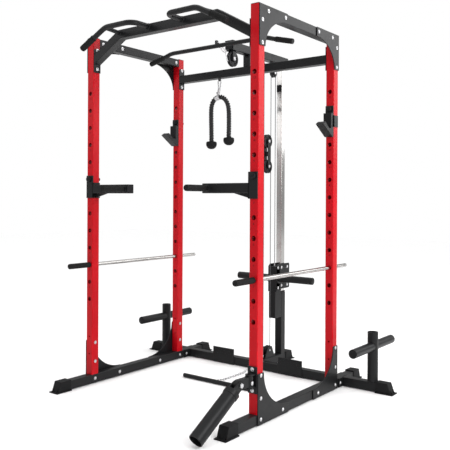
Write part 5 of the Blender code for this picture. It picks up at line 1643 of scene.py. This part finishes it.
@dataclass
class Studio:
    """Pale floor, soft lights and the camera."""

    eye: tuple[float, float, float] = (2.388, -3.000, 1.085)
    turn: tuple[float, float, float] = (90.0, -0.28, 37.28)
    lens: float = 52.88
    shift: float = -0.0585
    fill: float = 0.5

    def camera(self) -> None:
        """Places the camera."""
        data = bpy.data.cameras.new("camera")
        data.lens = self.lens
        data.sensor_width = 36.0
        data.shift_y = self.shift
        made = bpy.data.objects.new("camera", data)
        made.location = Vector(self.eye) + Shape.origin
        made.rotation_euler = [math.radians(angle) for angle in self.turn]
        bpy.context.scene.collection.objects.link(made)
        bpy.context.scene.camera = made

    def _area(self, name: str, place: Point, aim: Point, size: float, power: float) -> None:
        """A square area light aimed at a point."""
        data = bpy.data.lights.new(name, "AREA")
        data.size = size
        data.energy = power
        made = bpy.data.objects.new(name, data)
        made.location = place
        made.rotation_euler = (Vector(place) - Vector(aim)).to_track_quat("Z", "Y").to_euler()
        bpy.context.scene.collection.objects.link(made)

    def build(self) -> None:
        """Builds the floor and the lights."""
        plane = Shape()
        body = bmesh.new()
        body.faces.layers.float.new("edge")
        bmesh.ops.create_grid(body, x_segments=2, y_segments=2, size=14.0)
        plane._keep(body, Matrix.Translation((0, 0, -0.0005)))
        floor = plane.object("floor", PaleFloor("pale_floor", "", (0.97, 0.97, 0.97), 0.55))
        world = bpy.data.worlds.new("studio")
        world.use_nodes = True
        graph = Graph(world.node_tree, "Background")
        graph.set(Color=(1.0, 1.0, 1.0, 1.0), Strength=self.fill)
        backdrop = graph.node("ShaderNodeBackground", None, {"Color": (1.0, 1.0, 1.0, 1.0)})
        seen = graph.node("ShaderNodeLightPath", output="Is Camera Ray")
        fill = Value(graph, graph.shader.outputs[0])
        both = graph.node("ShaderNodeMixShader", None, {0: seen, 1: fill, 2: backdrop})
        graph.tree.links.new(both.socket, graph.tree.nodes["World Output"].inputs["Surface"])
        bpy.context.scene.world = world
        self._area("right_side", (4.2, -0.8, 2.4), (0.3, 0.0, 1.1), 2.4, 120.0)
        self._area("right_rear", (3.4, 3.8, 3.2), (0.3, 0.0, 1.2), 3.0, 110.0)
        self._area("left_front", (-3.0, -3.6, 3.0), (0.0, 0.0, 1.2), 2.4, 30.0)
        above = bpy.data.lights.new("above", "SUN")
        above.energy = 1.9
        above.angle = math.radians(100)
        bpy.context.scene.collection.objects.link(bpy.data.objects.new("above", above))
        bpy.context.scene.view_settings.view_transform = "Standard"


def main() -> None:
    """Builds the dressed cage in order."""
    logging.basicConfig(level=logging.INFO, format="%(message)s")
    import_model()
    cage = Cage.measured()
    studio = Studio()
    studio.camera()
    TricepsRope().build(cage)
    uprights = Uprights()
    uprights.build(cage)
    SideFrames().build(cage)
    Crossbeams().build(cage)
    PullUpBar().build(cage)
    tower = Tower()
    wheels = tower.pulleys(cage)
    tower.build(cage)
    Carriage().build(cage)
    Cables().build(cage, wheels)
    LatBar().build(cage, wheels["front"])
    LowRow().build(cage)
    Attachments().build(cage, uprights.levels())
    Landmine().build(cage)
    Fasteners().build(cage)
    studio.build()


if __name__ == "__main__":
    main()
